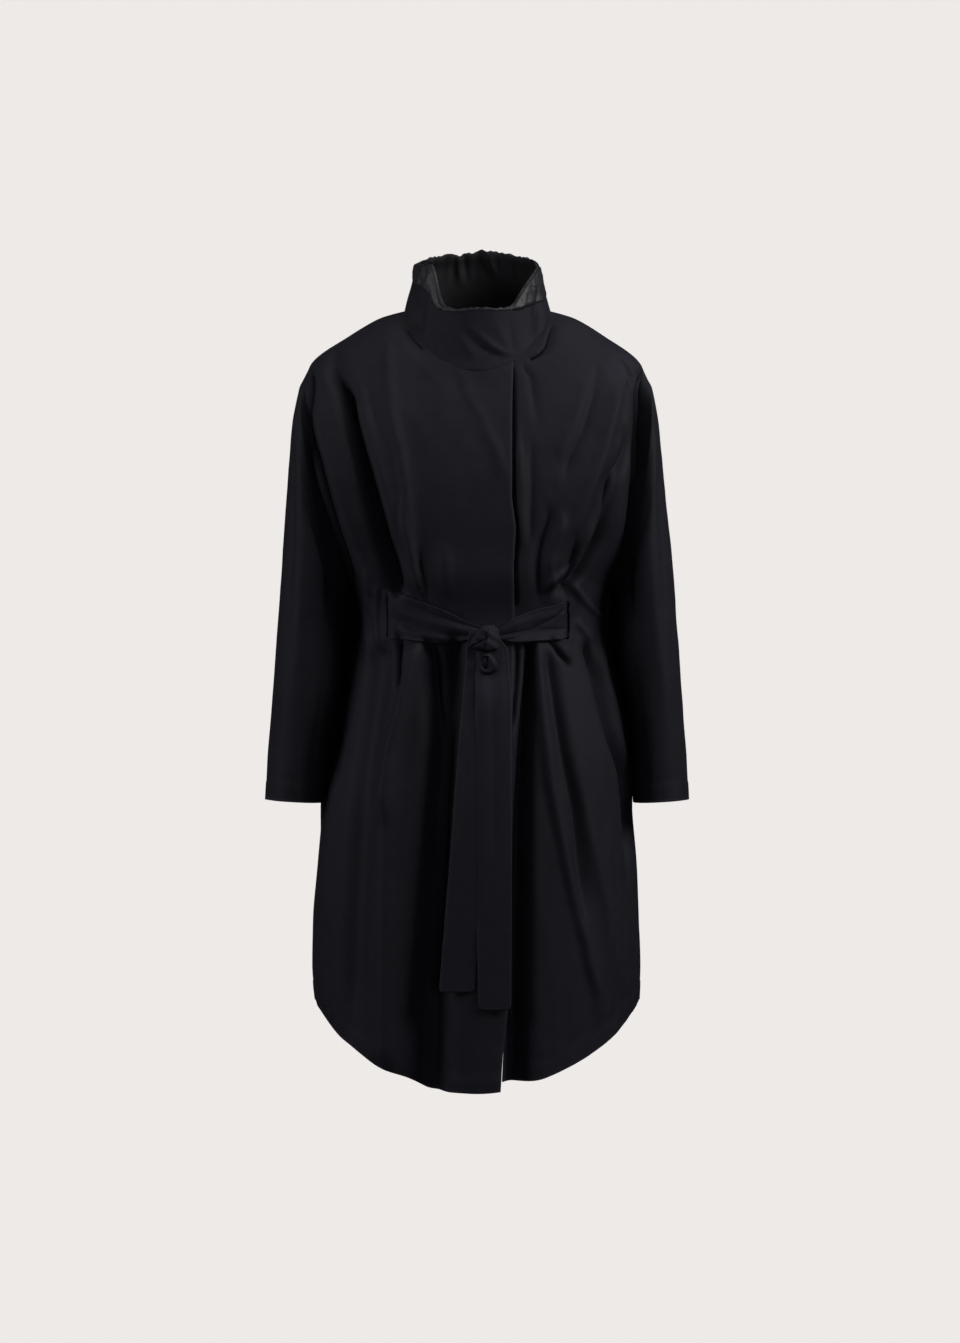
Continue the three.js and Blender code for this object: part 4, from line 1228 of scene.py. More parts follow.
    def lining_relief(self, t: np.ndarray, tau: np.ndarray) -> tuple[np.ndarray, np.ndarray]:
        """Inner ply: flat at the sides up to a slanting crease, and softly gathered at the back.

        At a side it stands inwards by a bell over the angle between the side and the crease, which
        runs from 108 degrees at the top to 150 degrees at the seam; everywhere it keeps clear of
        the dents of the outer ply.

        Args:
            t: height shares.
            tau: angles.

        Returns:
            Heights outwards and upwards, in mm.
        """
        turn = facing(tau)
        across = np.abs(turn)
        crease = 150 - 42 * t
        side = 8.0 * bump(across - (crease + 88) / 2, (crease - 88) * 0.42, 2.2) * smooth((1.04 - t) / 0.5)
        roll = 3.0 * smooth((across - crease) / 14) * bump(t - 0.9, 0.1, 2.2)
        roll = roll - 1.5 * bump(across - crease, 4, 1.5)
        u = tau * 1.35
        gather = np.sin(u / 4.6 + 0.8 * np.sin(u / 11.0) + 1.4 * t) + 0.5 * np.sin(u / 2.3 + 2.2 + 0.7 * t)
        left, right = 26 * (1 - t), 12 * (1 - t)
        hang = 3.4 * bump(turn - 172 + left, 4, 1.5) - 2.0 * bump(turn - 179 + left, 4, 1.5)
        hang = hang + 3.0 * bump(turn + 158 + right, 4, 1.5) - 2.4 * bump(turn + 165 + right, 4, 1.5)
        behind = smooth((across - 88) / 30)
        inward = side + roll + (0.9 * gather + hang) * behind * smooth((t - 0.4) / 0.4)
        clear = np.maximum(-self.outer_relief(t, tau)[0], 0)
        return -inward - 0.5 - clear, self.rim(tau) * t**3

    def turned(self, outer: Cloth) -> Cloth:
        """Satin facing that has rolled out over the top edge, with creases across it.

        It hangs over the outer ply by the depths of `flap`: little at the front, a broad
        three-cornered flap on the left and a narrower band where the edge stands up on the right.

        Args:
            outer: the outer ply.

        Returns:
            The sheet.
        """
        top = outer.grid[0]
        tau = np.degrees(np.arctan2(top[:, 0], -top[:, 1]))
        angles, deep = np.array(self.flap, float).T
        depth = np.interp(tau, angles, deep)
        down = lengths(outer.grid, 0)
        share = np.linspace(0, 1, self.flap_rows)[:, None]
        reach = share * depth
        rows = np.stack([np.interp(r, line, np.arange(len(line))) for r, line in zip(reach.T, down.T)], 1)
        points, normals = outer.at(rows, np.arange(len(tau)))
        crinkle = Crumple(71, 1.0, 9.0, 26.0, 9, 0.6).field(np.broadcast_to(tau * 1.4, reach.shape), reach)
        puff = 1.4 + 1.6 * np.sin(np.pi * share) ** 0.7 * smooth(depth / 12) + crinkle * smooth(depth / 14)
        return Cloth("collar_turned_facing", points + normals * puff[..., None], wall=0.8)

    def rolled_edge(self, outer: Cloth, lining: Cloth) -> Cloth:
        """Satin rolled over the top edge: a half tube from the inner ply to the outer ply's top.

        Args:
            outer: the outer ply.
            lining: the inner ply.

        Returns:
            The sheet; its width swells and shrinks a little on the way round.
        """
        a, b = outer.grid[0], lining.grid[0]
        turn = np.linspace(-0.15, np.pi + 0.1, 9)[:, None, None]
        run = np.linspace(0, 60, a.shape[0])[None, :, None]
        middle, reach = (a + b) / 2, (a - b) / 2
        wide = np.linalg.norm(reach[:, :2], axis=1)[:, None] + 0.3
        puff = 0.7 + 0.4 * np.sin(run * 5.1 + 2 * np.sin(run * 1.3)) * np.sin(turn)
        out = unit(reach * [1, 1, 0])
        grid = middle + out * wide * np.cos(turn) + np.array([0, 0, 1.0]) * wide * 0.9 * np.sin(turn) * puff
        grid[..., 2] = grid[..., 2] + (a[:, 2] - middle[:, 2]) * np.cos(turn[..., 0])
        return Cloth("collar_rolled_edge", grid, (middle - [0, 0, 2.0])[None], wall=0.0)

    def build(self, finishes: Finishes, sewing: Stitching) -> None:
        """Makes both plies, the rolled edge where they meet, the turned facing and the stitching.

        Args:
            finishes: the coat's materials.
            sewing: how the stitches are made.
        """
        outer = self.ply("collar_shell", 0.0, 0.0, self.outer_relief, 1.6)
        piece = outer.build(finishes.shell)
        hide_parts("collar_outer")
        lining = self.ply("collar_satin", self.lining_inset, self.lining_rise, self.lining_relief, 1.0)
        # the inner ply takes the darkened lining, painted shade for the collar's hollow
        inner = lining.build(finishes.inside, Slot.LINING)
        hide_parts("collar_lining")
        rolled = self.rolled_edge(outer, lining).build(finishes.satin, Slot.LINING)
        turned = self.turned(outer).build(finishes.satin, Slot.LINING)
        cols = np.linspace(3, self.columns - 4, 900)
        neck = outer.at(0.96 * (self.rows - 1), cols)
        stitches = sewing.sew("collar_stitches", [neck], finishes.thread)


# ---- Belt -------------------------------------------------------------------------------


def on_lap(x: np.ndarray) -> np.ndarray:
    """Lift of the right band: it lies on the right front where that rises over the left one."""
    return over(x, np.array(WAIST_ROW))


def off_lap(x: np.ndarray) -> np.ndarray:
    """Lift of the left band: 3.5 mm on the right front's edge, falling to 0 from x 70 to 46."""
    return LAP * smooth((70 - x) / 24)


@dataclass(frozen=True)
class BeltPath:
    """A band on the front: rows of (x, height of its middle, width, lift), and pleats along it.

    A pleat is (share across at the knot, share across at the slit, half width in mm, depth, power).
    """

    name: str
    node: str
    flat: tuple[float, float]
    rows: tuple[tuple[float, float, float, float], ...]
    pleats: tuple[tuple[float, float, float, float, float], ...]
    lift: Callable[[np.ndarray], np.ndarray]  # extra lift against x
    held: ClassVar[Held] = Held.GATHERED
    across: int = 40
    length: int = 90
    first_stitch: int = 2  # rows that carry the stitching along its edges
    last_stitch: int = 88
    wall: float = 1.6

    def sheet(self) -> Cloth:
        """Lays the band on the front at (x, middle + width * (0.5 - share)), lifted with its pleats.

        Returns:
            The sheet, its first row at the knot.
        """
        table = np.array(self.rows, float)
        t = np.linspace(0, len(table) - 1, self.length)
        x, z, wide, lift = (column(table[:, k], t)[:, None] for k in range(4))
        share = np.linspace(0, 1, self.across)[None, :]
        run = np.clip(np.abs(x - x[0]) / np.abs(SLIT_X - abs(float(x[0, 0]))), 0, 1)
        pleat = sum(d * bump((share - a - (b - a) * run) * wide, h, p) * smooth((1.04 - run) / 0.16)
                    for a, b, h, d, p in self.pleats)
        edge = np.minimum(share, 1 - share) * wide
        height = lift + self.lift(x) + self.wall + np.maximum(pleat, -1.4) + belt_edge(edge)
        grid = BODY.on_front(x, z + wide * (0.5 - share), height)
        return Cloth(self.name, grid, wall=self.wall, worn=bump(edge, 1.6))


@dataclass(frozen=True)
class TailPath:
    """A free belt end: rows of (height, left edge, right edge, lift) hanging down the front."""

    FREE_BELOW: ClassVar[float] = -800.0  # here a flush tail's left edge comes free of the other tail

    name: str
    node: str
    flat: tuple[float, float]
    rows: tuple[tuple[float, float, float, float], ...]
    folds: tuple[Fold, ...]
    corner: float = 8.0  # radius of the corners at its end
    flush: bool = False  # its left edge is pressed down level with the tail under it
    held: ClassVar[Held] = Held.HUNG
    across: int = 30
    length: int = 200
    first_stitch: int = 2
    last_stitch: int = 192
    wall: float = 1.6

    def sheet(self) -> Cloth:
        """Hangs the tail on the front; its end is rounded at both corners, by a quarter circle each.

        Returns:
            The sheet, its first row at the knot.
        """
        table = np.array(self.rows, float)
        end = table[-1, 0]
        z = np.linspace(table[0, 0], end, self.length)[:, None]
        left, right, lift = (np.interp(-z, -table[:, 0], table[:, k]) for k in (1, 2, 3))
        rest = np.clip(1 - (z - end) / self.corner, 0, 1)
        inset = self.corner * (1 - np.sqrt(1 - rest**2 * 0.999))
        x = left + inset + (right - left - 2 * inset) * np.linspace(0, 1, self.across)[None, :]
        z = np.broadcast_to(z, x.shape)
        edge = np.minimum(np.minimum(x - left, right - x), z - end + 0.2)
        free = 1 - self.flush * smooth((z - self.FREE_BELOW) / 30) * bump(x - left, 9, 4)
        pressed = 3.4 * self.flush * smooth((z - self.FREE_BELOW) / 40) * smooth((7 - (x - left)) / 7)
        curl = 0.5 * np.sin(z / 57)
        folds = sum(f.height(x, z, np.ones_like(x)) for f in self.folds)
        height = lift + LAP + self.wall + curl + (belt_edge(edge) * free - pressed) + folds
        wear_and_sheen_share = 0.8 * self.flush * bump(z + 484, 24, 3) * bump(x - 9, 17, 3)  # painted sheen: the upper tail is painted pale below the loop for the light that it catches
        return Cloth(self.name, BODY.on_front(x, z, height, 0.0), wall=self.wall,
                     worn=np.maximum(bump(edge, 1.6), wear_and_sheen_share))


@dataclass
class Belt:
    """Tie belt: bands from both slits to the knot, the hidden run, the knot, its loop and two tails."""

    LEFT_EDGE_FREE: ClassVar[int] = 168  # row of the upper tail from which its left edge is stitched

    knot_turns: int = 120
    knot_rings: int = 70
    knot_middle: tuple[float, float] = (10.0, -419.0)
    knot_rim: Route = (
        (-13, -432), (-7, -420), (1, -409), (7, -404), (20, -403), (27, -409), (28, -422), (26, -436),
        (12, -438.5), (-2, -436))
    run_rows: tuple[float, float] = (8.42, 9.28)  # ring rows of the hidden run's edges
    run_row_mm: float = 42.0  # height of a ring row there
    run_end_x: float = 137.0
    run_depth: float = 5.2  # how far inside the back it lies
    run_folds: float = 0.35  # share of the back's folds that it follows
    run_flat: tuple[float, float] = (0.72, 0.045)
    loop_flat: tuple[float, float] = (0.062, 0.012)
    right: BeltPath = BeltPath(
        "belt_band_right", "belt_waist_right", (0.135, 0.055),
        ((4.5, -414, 17, 2.8), (-6, -411, 20, 2.8), (-16, -410, 25, 3.0), (-34, -407, 37, 3.2),
         (-54, -403, 46, 3.2), (-76, -398, 52, 2.8), (-98, -392, 58, 2.4), (-106, -391, 59, 2.1),
         (-110, -390, 59, 1.0), (-113, -390, 59, -2.4), (-115.5, -390, 58, -6.4), (-121, -390, 54, -8.2)),
        ((0.30, 0.16, 3.2, -1.6, 1.5), (0.50, 0.40, 5.0, 1.6, 1.7), (0.82, 0.60, 3.0, -2.6, 1.5),
         (0.95, 0.80, 4.0, 1.6, 1.7)),
        on_lap)
    left: BeltPath = BeltPath(
        "belt_band_left", "belt_waist_left", (0.125, 0.048),
        ((4.8, -415, 14, 2.8), (24, -416, 13, 3.2), (33, -414, 19, 3.4), (46, -410, 30, 3.4),
         (64, -406, 37, 3.2), (84, -402, 42, 2.8), (99, -400, 44, 2.4), (106, -398, 47, 2.0),
         (109.5, -397, 46, 1.0), (112.5, -396, 45, -2.4), (115.5, -395, 45, -6.4), (121, -391, 45, -8.2)),
        ((0.55, 0.74, 2.6, -2.4, 1.4), (0.24, 0.30, 7.0, 2.0, 1.7), (0.80, 1.0, 4.5, 1.6, 1.7),
         (1.25, 0.18, 2.2, -2.6, 1.4)),
        off_lap)
    under: TailPath = TailPath(
        "belt_end_under", "belt_tail_under", (0.048, 0.46),
        ((-412, -11, 14, 5.6), (-440, -14, 20, 5.6), (-490, -18, 26, 5.4), (-560, -24, 22, 5.2),
         (-680, -33, 13, 5.0), (-862, -48, -4, 5.0)),
        (Fold(((-16, -520), (-22, -600), (-28, -700)), 0.7, 7, 7),
         Fold(((-14, -560), (-24, -700)), -0.8, 5, 5)),
        corner=6.0)
    over: TailPath = TailPath(
        "belt_end_over", "belt_tail_over", (0.048, 0.48),
        ((-412, -4, 22, 8.6), (-434, -3, 38, 8.4), (-490, -2, 42, 7.6), (-560, -3, 42, 7.2),
         (-690, -2, 43, 7.0), (-884, 1, 42, 7.0)),
        (Fold(((16, -470), (20, -560), (21, -690)), -1.2, 5, 6),
         Fold(((30, -440), (30, -520)), 0.9, 6, 6),
         Fold(((9, -470), (9, -525)), 4.5, 19, 19, 2.4, (36, 80))),
        corner=7.0, flush=True)

    def inside(self) -> Cloth:
        """The hidden run inside the back, between the ends that come in through the slits.

        Returns:
            The sheet.
        """
        top, bottom = self.run_rows
        s = np.linspace(top, bottom, 22)[:, None]
        first, last = BODY.angle_at(np.full(2, WAIST_ROW), np.array([1, -1]) * self.run_end_x)
        tau = np.linspace(first, last + 360, 240)[None, :]
        edge = np.minimum(s - top, bottom - s) * self.run_row_mm
        lift = -self.run_depth - 0.3 * bump(edge - BELT_STITCH, 1.0)
        return Cloth("belt_run_inside", BODY.place(s, tau, lift, self.run_folds))

    def knot(self) -> Cloth:
        """The knot: a flat lump with the outline of a leaning five-sided wrap.

        Rings of its outline shrink from the flat back to the middle of the face. The face falls
        away gently to the left of a slanting ridge and steeply to the right of it, and is cut by
        two grooves where one wrap passes over the other.

        Returns:
            The sheet, a closed ring; the ridge and the steep side are painted pale as sheen.
        """
        _, high = (np.array(c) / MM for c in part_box("belt_knot"))
        rim = np.array(self.knot_rim + self.knot_rim[:1], float)
        at = np.concatenate([[0], np.cumsum(np.linalg.norm(np.diff(rim, axis=0), axis=1))])
        run = np.linspace(0, at[-1], self.knot_turns, endpoint=False)
        edge_x, edge_z = (np.interp(run, at, rim[:, k])[None, :] for k in (0, 1))
        for _ in range(3):
            edge_x, edge_z = (e / 2 + (np.roll(e, 1, 1) + np.roll(e, -1, 1)) / 4 for e in (edge_x, edge_z))
        t = np.linspace(0, 1, self.knot_rings)[:, None]
        r = np.clip(1.25 * (1 - t), 0, 1)
        mid_x, mid_z = self.knot_middle
        x, z = mid_x + r * (edge_x - mid_x), mid_z + r * (edge_z - mid_z)
        side = x - (13.5 + 0.14 * (z - mid_z))
        slope = np.where(side < 0, -0.16 * side, 0.62 * np.minimum(side, 11))
        crossing = z - mid_z + 3 - 0.55 * (x - mid_x)
        groove = 1.2 * bump(side + 1.8, 1.0, 1.5) + 1.4 * bump(crossing, 1.8) * (side < 0)
        face = 15.0 * (1 - r**5) ** 0.5 - (slope + groove + 0.5 * np.sin(0.5 * z + 0.3 * x)) * (1 - r**6)
        y = high[1] - 0.6 - np.maximum(face, 0) * smooth(t / 0.2)
        # painted sheen: the steep facet and the ridge are painted pale for their highlight
        wear_and_sheen_share = smooth(side / 1.2) * smooth((z + 434) / 3) * smooth((-407 - z) / 3)
        behind = np.array([mid_x, high[1] + 3, mid_z])
        return Cloth("belt_knot_wraps", np.stack([x, y, z], -1), behind, ring=True, wall=0.0,
                     worn=np.maximum(0.7 * bump(side, 1.2), wear_and_sheen_share))

    def loop(self) -> Cloth:
        """The small loop under the knot: a soft band round an off-centre hole, widest low on its left.

        Its points run between two ovals, the hole's and its outline's, and it swells between them.

        Returns:
            The sheet.
        """
        _, high = (np.array(c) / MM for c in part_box("belt_loop"))
        a = np.radians(np.linspace(0, 360, 97))[None, :]
        side = np.linspace(0, 1, 20)[:, None]
        x = (1 - side) * (8.8 + 4.2 * np.sin(a)) + side * (13.8 + 10.6 * np.sin(a) * (1 - 0.34 * np.cos(a)))
        z = (1 - side) * (-450.5 + 7.0 * np.cos(a)) + side * (-453.0 + 12.6 * np.cos(a))
        puff = np.sin(np.pi * (0.06 + 0.88 * side)) ** 0.7
        y = high[1] - 3.0 - 7.5 * puff - 1.5 * np.cos(a) + 0.5 * np.sin(3 * a)
        behind = np.array([13.0, high[1] + 20, -451.0])
        # the colour turns paler along the crest of the swell
        return Cloth("belt_small_loop", np.stack([x, y, z], -1), behind, wall=1.2,
                     worn=bump(side - 0.55, 0.12))

    def build(self, finishes: Finishes, sewing: Stitching) -> None:
        """Makes all pieces of the belt.

        Args:
            finishes: the coat's materials.
            sewing: how the stitches are made.
        """
        lines = []
        for path in (self.right, self.left, self.under, self.over):
            cloth = path.sheet()
            piece = cloth.build(finishes.shell)
            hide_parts(path.node)
            last = path.across - 1
            inset = BELT_STITCH / (BELT_WIDE / last)
            first = self.LEFT_EDGE_FREE if path is self.over else path.first_stitch
            for row, col in ((first, inset), (path.first_stitch, last - inset)):
                lines.append(cloth.at(np.linspace(row, path.last_stitch, 500), col))
        sewing.sew("belt_stitches", lines, finishes.thread)
        run = self.inside().build(finishes.shell)
        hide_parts("belt_inside")
        knot = self.knot().build(finishes.shell)
        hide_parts("belt_knot")
        loop = self.loop().build(finishes.shell)
        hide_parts("belt_loop")


# ---- Materials --------------------------------------------------------------------------


def linear(colour: str) -> tuple[float, float, float, float]:
    """Linear red, green, blue and alpha 1 of an sRGB hex colour.

    Args:
        colour: such as "#12ab9f".

    Returns:
        Four values from 0 to 1.
    """
    parts = [int(colour[k:k + 2], 16) / 255 for k in (1, 3, 5)]
    r, g, b = (c / 12.92 if c <= 0.04045 else ((c + 0.055) / 1.055) ** 2.4 for c in parts)
    return r, g, b, 1.0


def add(tree: bpy.types.NodeTree, kind: str, settings: dict[str, Any] | None = None,
        **inputs: Any) -> bpy.types.Node:
    """Adds a node.

    Args:
        tree: node tree.
        kind: type name of the node.
        settings: its properties.
        inputs: socket values by name, "_" for a space and "_0", "_1" for a numbered socket; a
            (node, output) pair is linked.

    Returns:
        The node.
    """
    node = tree.nodes.new(kind)
    for key, value in (settings or {}).items():
        setattr(node, key, value)
    for key, value in inputs.items():
        socket = node.inputs[int(key[1:])] if key[1:].isdigit() else node.inputs[key.replace("_", " ")]
        if isinstance(value, tuple) and isinstance(value[0], bpy.types.Node):
            tree.links.new(value[0].outputs[value[1]], socket)
        else:
            socket.default_value = value
    return node


@dataclass(frozen=True)
class Woven:
    """A woven cloth: two sets of threads at right angles, drawn in the piece's own lengths."""

    name: str
    colour: str
    light: str  # colour of the worn edges and of the painted sheen patches, and of the paler mottling
    roughness: float
    thread_mm: float  # spacing of the threads as drawn
    weave_mm: float  # depth of the weave
    crinkle_mm: float  # size and depth of the fine crinkles
    crinkle_depth: float
    specular: float
    anisotropy: float = 0.0

    def make(self) -> bpy.types.Material:
        """Builds the node tree: mottled colour, paler worn edges and painted sheen patches, weave and crinkle
        as bump.

        The weave is sin(pi * u / spacing) * sin(pi * v / spacing), so its ups and downs
        alternate from thread to thread as in plain weave.

        Returns:
            The material.
        """
        material = bpy.data.materials.new(self.name)
        material.use_nodes = True
        tree = material.node_tree
        tree.nodes.clear()
        multiply, sine = {"operation": "MULTIPLY"}, {"operation": "SINE"}
        plus = {"operation": "ADD", "use_clamp": True}
        uv = (add(tree, "ShaderNodeUVMap", {"uv_map": "cloth"}), "UV")
        place = (add(tree, "ShaderNodeTexCoord"), "Object")
        mottle = add(tree, "ShaderNodeTexNoise", None, Vector=place, Scale=9.0, Detail=4.0, Roughness=0.6)
        cloudy = add(tree, "ShaderNodeTexNoise", None, Vector=place, Scale=70.0, Detail=3.0, Roughness=0.5)
        # the attribute paints worn edges and painted sheen patches paler, broken up by the cloudy noise
        worn = add(tree, "ShaderNodeAttribute", {"attribute_name": "worn"})
        both = add(tree, "ShaderNodeMath", multiply, _0=(mottle, "Fac"), _1=(cloudy, "Fac"))
        wear_and_sheen_share = add(tree, "ShaderNodeMath", multiply, _0=(worn, "Fac"), _1=(cloudy, "Fac"))
        share = add(tree, "ShaderNodeMath", plus, _0=(both, 0), _1=(wear_and_sheen_share, 0))
        ramp = add(tree, "ShaderNodeValToRGB", None, Fac=(share, 0))
        for stop, at, colour in zip(ramp.color_ramp.elements, (0.1, 0.75), (self.colour, self.light)):
            stop.position, stop.color = at, linear(colour)
        split = add(tree, "ShaderNodeSeparateXYZ", None, Vector=uv)
        half_turn = math.pi / (self.thread_mm * MM)
        angles = [add(tree, "ShaderNodeMath", multiply, _0=(split, axis), _1=half_turn) for axis in "XY"]
        along_u, along_v = (add(tree, "ShaderNodeMath", sine, _0=(angle, 0)) for angle in angles)
        weave = add(tree, "ShaderNodeMath", multiply, _0=(along_u, 0), _1=(along_v, 0))
        rough = add(tree, "ShaderNodeMapRange", None, Value=(cloudy, "Fac"), _3=self.roughness - 0.06,
                    _4=self.roughness + 0.08)
        crinkle = add(tree, "ShaderNodeTexNoise", None, Vector=place, Scale=1 / (self.crinkle_mm * MM),
                      Detail=2.0, Roughness=0.55, Distortion=0.8)
        low = add(tree, "ShaderNodeBump", None, Height=(crinkle, "Fac"), Strength=1.0,
                  Distance=self.crinkle_depth * MM)
        fine = add(tree, "ShaderNodeBump", None, Height=(weave, 0), Distance=self.weave_mm * MM, Strength=1.0,
                   Normal=(low, 0))
        shader = add(tree, "ShaderNodeBsdfPrincipled", None, Base_Color=(ramp, 0), Roughness=(rough, 0),
                     Normal=(fine, 0), Specular_IOR_Level=self.specular, Anisotropic=self.anisotropy)
        add(tree, "ShaderNodeOutputMaterial", None, Surface=(shader, 0))
        return material


# Coated polyester taffeta: a close plain weave under a thin polyurethane film. The film is
# calendered matt, so it is nearly black with a broad soft gloss on the ridges. Its threads
# are 0.2 mm apart, too fine to show, so they are drawn 0.9 mm apart.
COATED_CLOTH = Woven("coated polyester rain cloth", "#121118", "#1d1c25", 0.71, thread_mm=0.9, weave_mm=0.014,
                     crinkle_mm=7.0, crinkle_depth=0.16, specular=0.125)
# Acetate satin: floats of bright filament on the face, drawn 0.6 mm apart instead of 0.12 mm.
# They shine along the gathers and look dark grey between them.
SATIN = Woven("black acetate satin", "#111014", "#1f1e24", 0.46, thread_mm=0.6, weave_mm=0.008,
              crinkle_mm=11.0, crinkle_depth=0.9, specular=0.22, anisotropy=0.5)
# The inner ply of the collar: a close dull twill with little gloss, its colour drawn darker than the satin as
# painted shade for the collar's hollow.
# Its threads are drawn 0.7 mm apart instead of 0.12 mm.
SHADED_LINING = Woven("black lining, darkened as painted shade", "#0b0a0d", "#141318", 0.66, thread_mm=0.7, weave_mm=0.010,
               crinkle_mm=8.0, crinkle_depth=0.2, specular=0.10)
# Spun polyester sewing thread, twisted and lubricated: a little glossier and paler than the cloth.
# Its plies show as ridges 0.6 mm apart.
THREAD = Woven("black polyester sewing thread", "#121115", "#1f1e23", 0.45, thread_mm=0.6, weave_mm=0.02,
               crinkle_mm=1.2, crinkle_depth=0.05, specular=0.5)


# ---- Studio -----------------------------------------------------------------------------


@dataclass
class Studio:
    """Pale floor and surround, soft lights and the camera."""

    SURROUNDS: ClassVar[dict[str, Route]] = {  # radius and height of each ring, in mm
        "floor": ((0.001, -1400.0), (9000.0, -1400.0)),
        "surround": ((9000.0, -1400.0), (9000.0, 4000.0), (6500.0, 8200.0), (0.001, 9000.0)),
    }

    paper: str = "#eeeae8"
    room: str = "#dfe3ea"
    room_light: float = 0.05
    sides: int = 96
    softbox: float = 1.2  # side of a softbox, in m
    aim: tuple[float, float, float] = (0.0, 0.0, -0.45)  # the middle of the coat, in m
    far: float = 4.0
    frame_tall: float = 1.746  # what the view takes in at the coat's middle, in m
    sensor: float = 36.0
    centre_x: float = 0.00375  # from the middle of the coat's box
    centre_z: float = -0.0153

    def surround(self) -> None:
        """A pale paper floor inside a pale round surround, as flat as paper lit from all sides.

        Each is a surface of revolution: rings of its radii at its heights.
        """
        paper = bpy.data.materials.new("evenly lit studio paper")
        paper.use_nodes = True
        tree = paper.node_tree
        tree.nodes.clear()
        glow = add(tree, "ShaderNodeEmission", None, Color=linear(self.paper), Strength=1.0)
        add(tree, "ShaderNodeOutputMaterial", None, Surface=(glow, 0))
        t = np.linspace(0, 2 * np.pi, self.sides + 1)[None, :]
        for name, rings in self.SURROUNDS.items():
            radius, height = np.array(rings).T[..., None]
            points = np.stack(np.broadcast_arrays(radius * np.cos(t), radius * np.sin(t), height), -1)
            faces = np.stack([i * t.size + j for i, j in cells(len(rings), self.sides)], 1)
            piece = make_mesh(name, points.reshape(-1, 3), faces.tolist())
            piece.data.materials.append(paper)
            piece.visible_diffuse = piece.visible_glossy = piece.visible_shadow = False
            piece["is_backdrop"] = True

    def world(self) -> None:
        """A dim bluish room behind the lights."""
        world = bpy.data.worlds.new("studio room")
        world.use_nodes = True
        back = world.node_tree.nodes["Background"].inputs
        back["Color"].default_value, back["Strength"].default_value = linear(self.room), self.room_light
        bpy.context.scene.world = world

    def light(self, name: str, place: tuple[float, float, float], power: float, tint: str) -> None:
        """A square softbox that looks at the middle of the coat.

        Args:
            name: the light's name.
            place: where it stands, in m.
            power: in W.
            tint: its sRGB colour.
        """
        data = bpy.data.lights.new(name, "AREA")
        data.shape, data.size, data.energy = "SQUARE", self.softbox, power
        data.color = linear(tint)[:3]
        lamp = link(name, data)
        lamp.location = place
        x, y, z = np.array(self.aim) - np.array(place)
        lamp.rotation_euler = (math.atan2(math.hypot(x, y), -z), 0.0, math.atan2(-x, y))

    def camera(self) -> None:
        """A camera that looks straight at the coat's front."""
        low, high = (np.array(c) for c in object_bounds())
        middle = (low + high) / 2
        data = bpy.data.cameras.new("view")
        data.sensor_fit, data.sensor_height, data.sensor_width = "VERTICAL", self.sensor, self.sensor
        data.lens = self.sensor * self.far / self.frame_tall
        camera = link("view", data)
        camera.location = (middle[0] + self.centre_x, -self.far, middle[2] + self.centre_z)
        camera.rotation_euler = (math.pi / 2, 0.0, 0.0)
        bpy.context.scene.camera = camera
        bpy.context.scene.view_settings.view_transform = "Standard"

    def build(self) -> None:
        """Sets up the surround, the lights and the camera."""
        self.surround()
        self.world()
        self.light("right softbox", (2.3, -1.0, 1.1), 72.0, "#fffdfb")
        self.light("left softbox", (-2.4, -0.9, 0.25), 36.0, "#fbfcff")
        self.light("top softbox", (0.3, -0.4, 2.5), 34.0, "#ffffff")
        self.light("front fill", (0.5, -3.4, -0.6), 13.0, "#ffffff")
        self.camera()


# ---- Coat -------------------------------------------------------------------------------


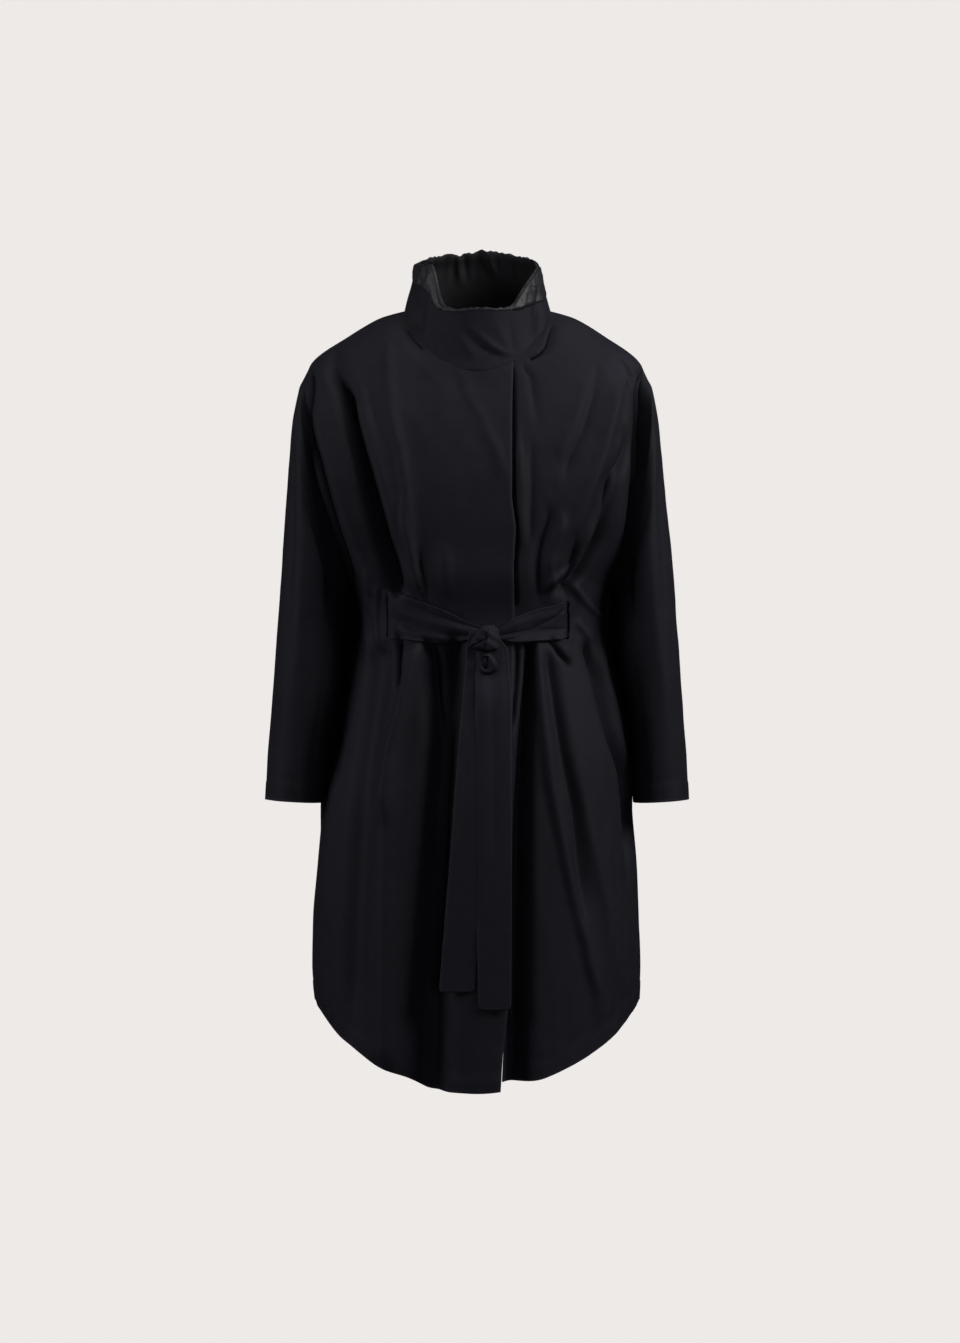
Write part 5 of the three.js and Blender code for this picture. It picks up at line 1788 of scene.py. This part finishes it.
@dataclass
class Coat:
    """The whole coat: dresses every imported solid."""

    OUTER_RIGHT: ClassVar[Profile] = (224, 231, 238, 244, 250, 255, 260, 265, 270, 273)
    INNER_RIGHT: ClassVar[Profile] = (169, 169.5, 170, 171.5, 173, 176, 181, 190, 197.5, 202)
    OUTER_LEFT: ClassVar[Profile] = (219, 226, 233, 241, 249, 254.5, 260, 264.5, 269, 272)
    INNER_LEFT: ClassVar[Profile] = (174, 175, 175.5, 176, 177, 180, 189.5, 198, 201.5, 203.5)
    FLAT: ClassVar[dict[str, Profile]] = {  # width and height laid flat in m, and area in m2
        "front_right": (0.36, 0.94, 0.27),
        "front_left": (0.33, 0.94, 0.25),
        "back": (0.56, 1.00, 0.47),
        "sleeve_right": (0.46, 0.56, 0.17),
        "sleeve_left": (0.46, 0.56, 0.17),
    }

    fronts: Fronts = field(default_factory=Fronts)
    sewing: Stitching = Stitching()

    @staticmethod
    def above_edge(cloth: Cloth, down_col: int, band: float, cols: np.ndarray) -> tuple[np.ndarray, ...]:
        """A stitch line at a band's depth above the lower edge of a piece.

        Args:
            cloth: the piece.
            down_col: column down which the band is measured.
            band: its depth in mm.
            cols: columns that the line runs over.

        Returns:
            Points and normals.
        """
        down = lengths(cloth.grid[:, down_col, None], 0)[1:, 0]
        return cloth.at(float(np.interp(down[-1] - band, down, np.arange(1, len(cloth.grid)))), cols)

    def seams(self, right: Cloth, left: Cloth, back: Cloth, sleeves: list[Cloth],
              thread: bpy.types.Material) -> None:
        """Stitch lines along the hems, the front edge, the facing and the cuffs.

        Args:
            right: the right front.
            left: the left front.
            back: the back.
            sleeves: both sleeves.
            thread: the sewing thread.
        """
        lines = []
        for cloth, first in ((right, 2), (left, self.fronts.lap_columns + 2), (back, 2)):
            cols = cloth.grid.shape[1]
            lines.append(self.above_edge(cloth, cols // 2, HEM_BAND, np.linspace(first, cols - 3, 700)))
        g = right.grid
        rows = np.arange(4.0, len(g) - 8, 0.5)
        step = np.linalg.norm(g[:, 1] - g[:, 0], axis=-1)
        lines.append(right.at(rows, FRONT_STITCH / np.interp(rows, np.arange(len(g)), step)))
        whole = np.arange(6, int(len(g) * 0.9))
        near = np.arange(60)  # columns between the edge and well past the facing
        lines.append(right.at(whole, np.array([np.interp(PLACKET, -g[k, near, 0], near) for k in whole])))
        self.sewing.sew("body_stitches", lines, thread)
        round_cuff = np.linspace(0, sleeves[0].grid.shape[1] - 0.05, 500)
        cuffs = [self.above_edge(sleeve, 0, CUFF_BAND, round_cuff) for sleeve in sleeves]
        self.sewing.sew("cuff_stitches", cuffs, thread)

    def build(self) -> None:
        """Makes every piece and hides the solid that it stands for."""
        finishes = Finishes(COATED_CLOTH.make(), SATIN.make(), SHADED_LINING.make(), THREAD.make())
        right, left, back = self.fronts.right(), self.fronts.left(), Back().sheet()
        sleeves = [Sleeve(-1, "sleeve_shell_right", self.OUTER_RIGHT, self.INNER_RIGHT).sheet(),
                   Sleeve(1, "sleeve_shell_left", self.OUTER_LEFT, self.INNER_LEFT).sheet()]
        for cloth, (node, (wide, high, area)) in zip((right, left, back, *sleeves), self.FLAT.items()):
            piece = cloth.build(finishes.shell)
            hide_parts(node)
        self.seams(right, left, back, sleeves, finishes.thread)
        Collar().build(finishes, self.sewing)
        Belt().build(finishes, self.sewing)


def main() -> None:
    logging.basicConfig(level=logging.INFO, format="%(message)s")
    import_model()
    Coat().build()
    Studio().build()


if __name__ == "__main__":
    main()
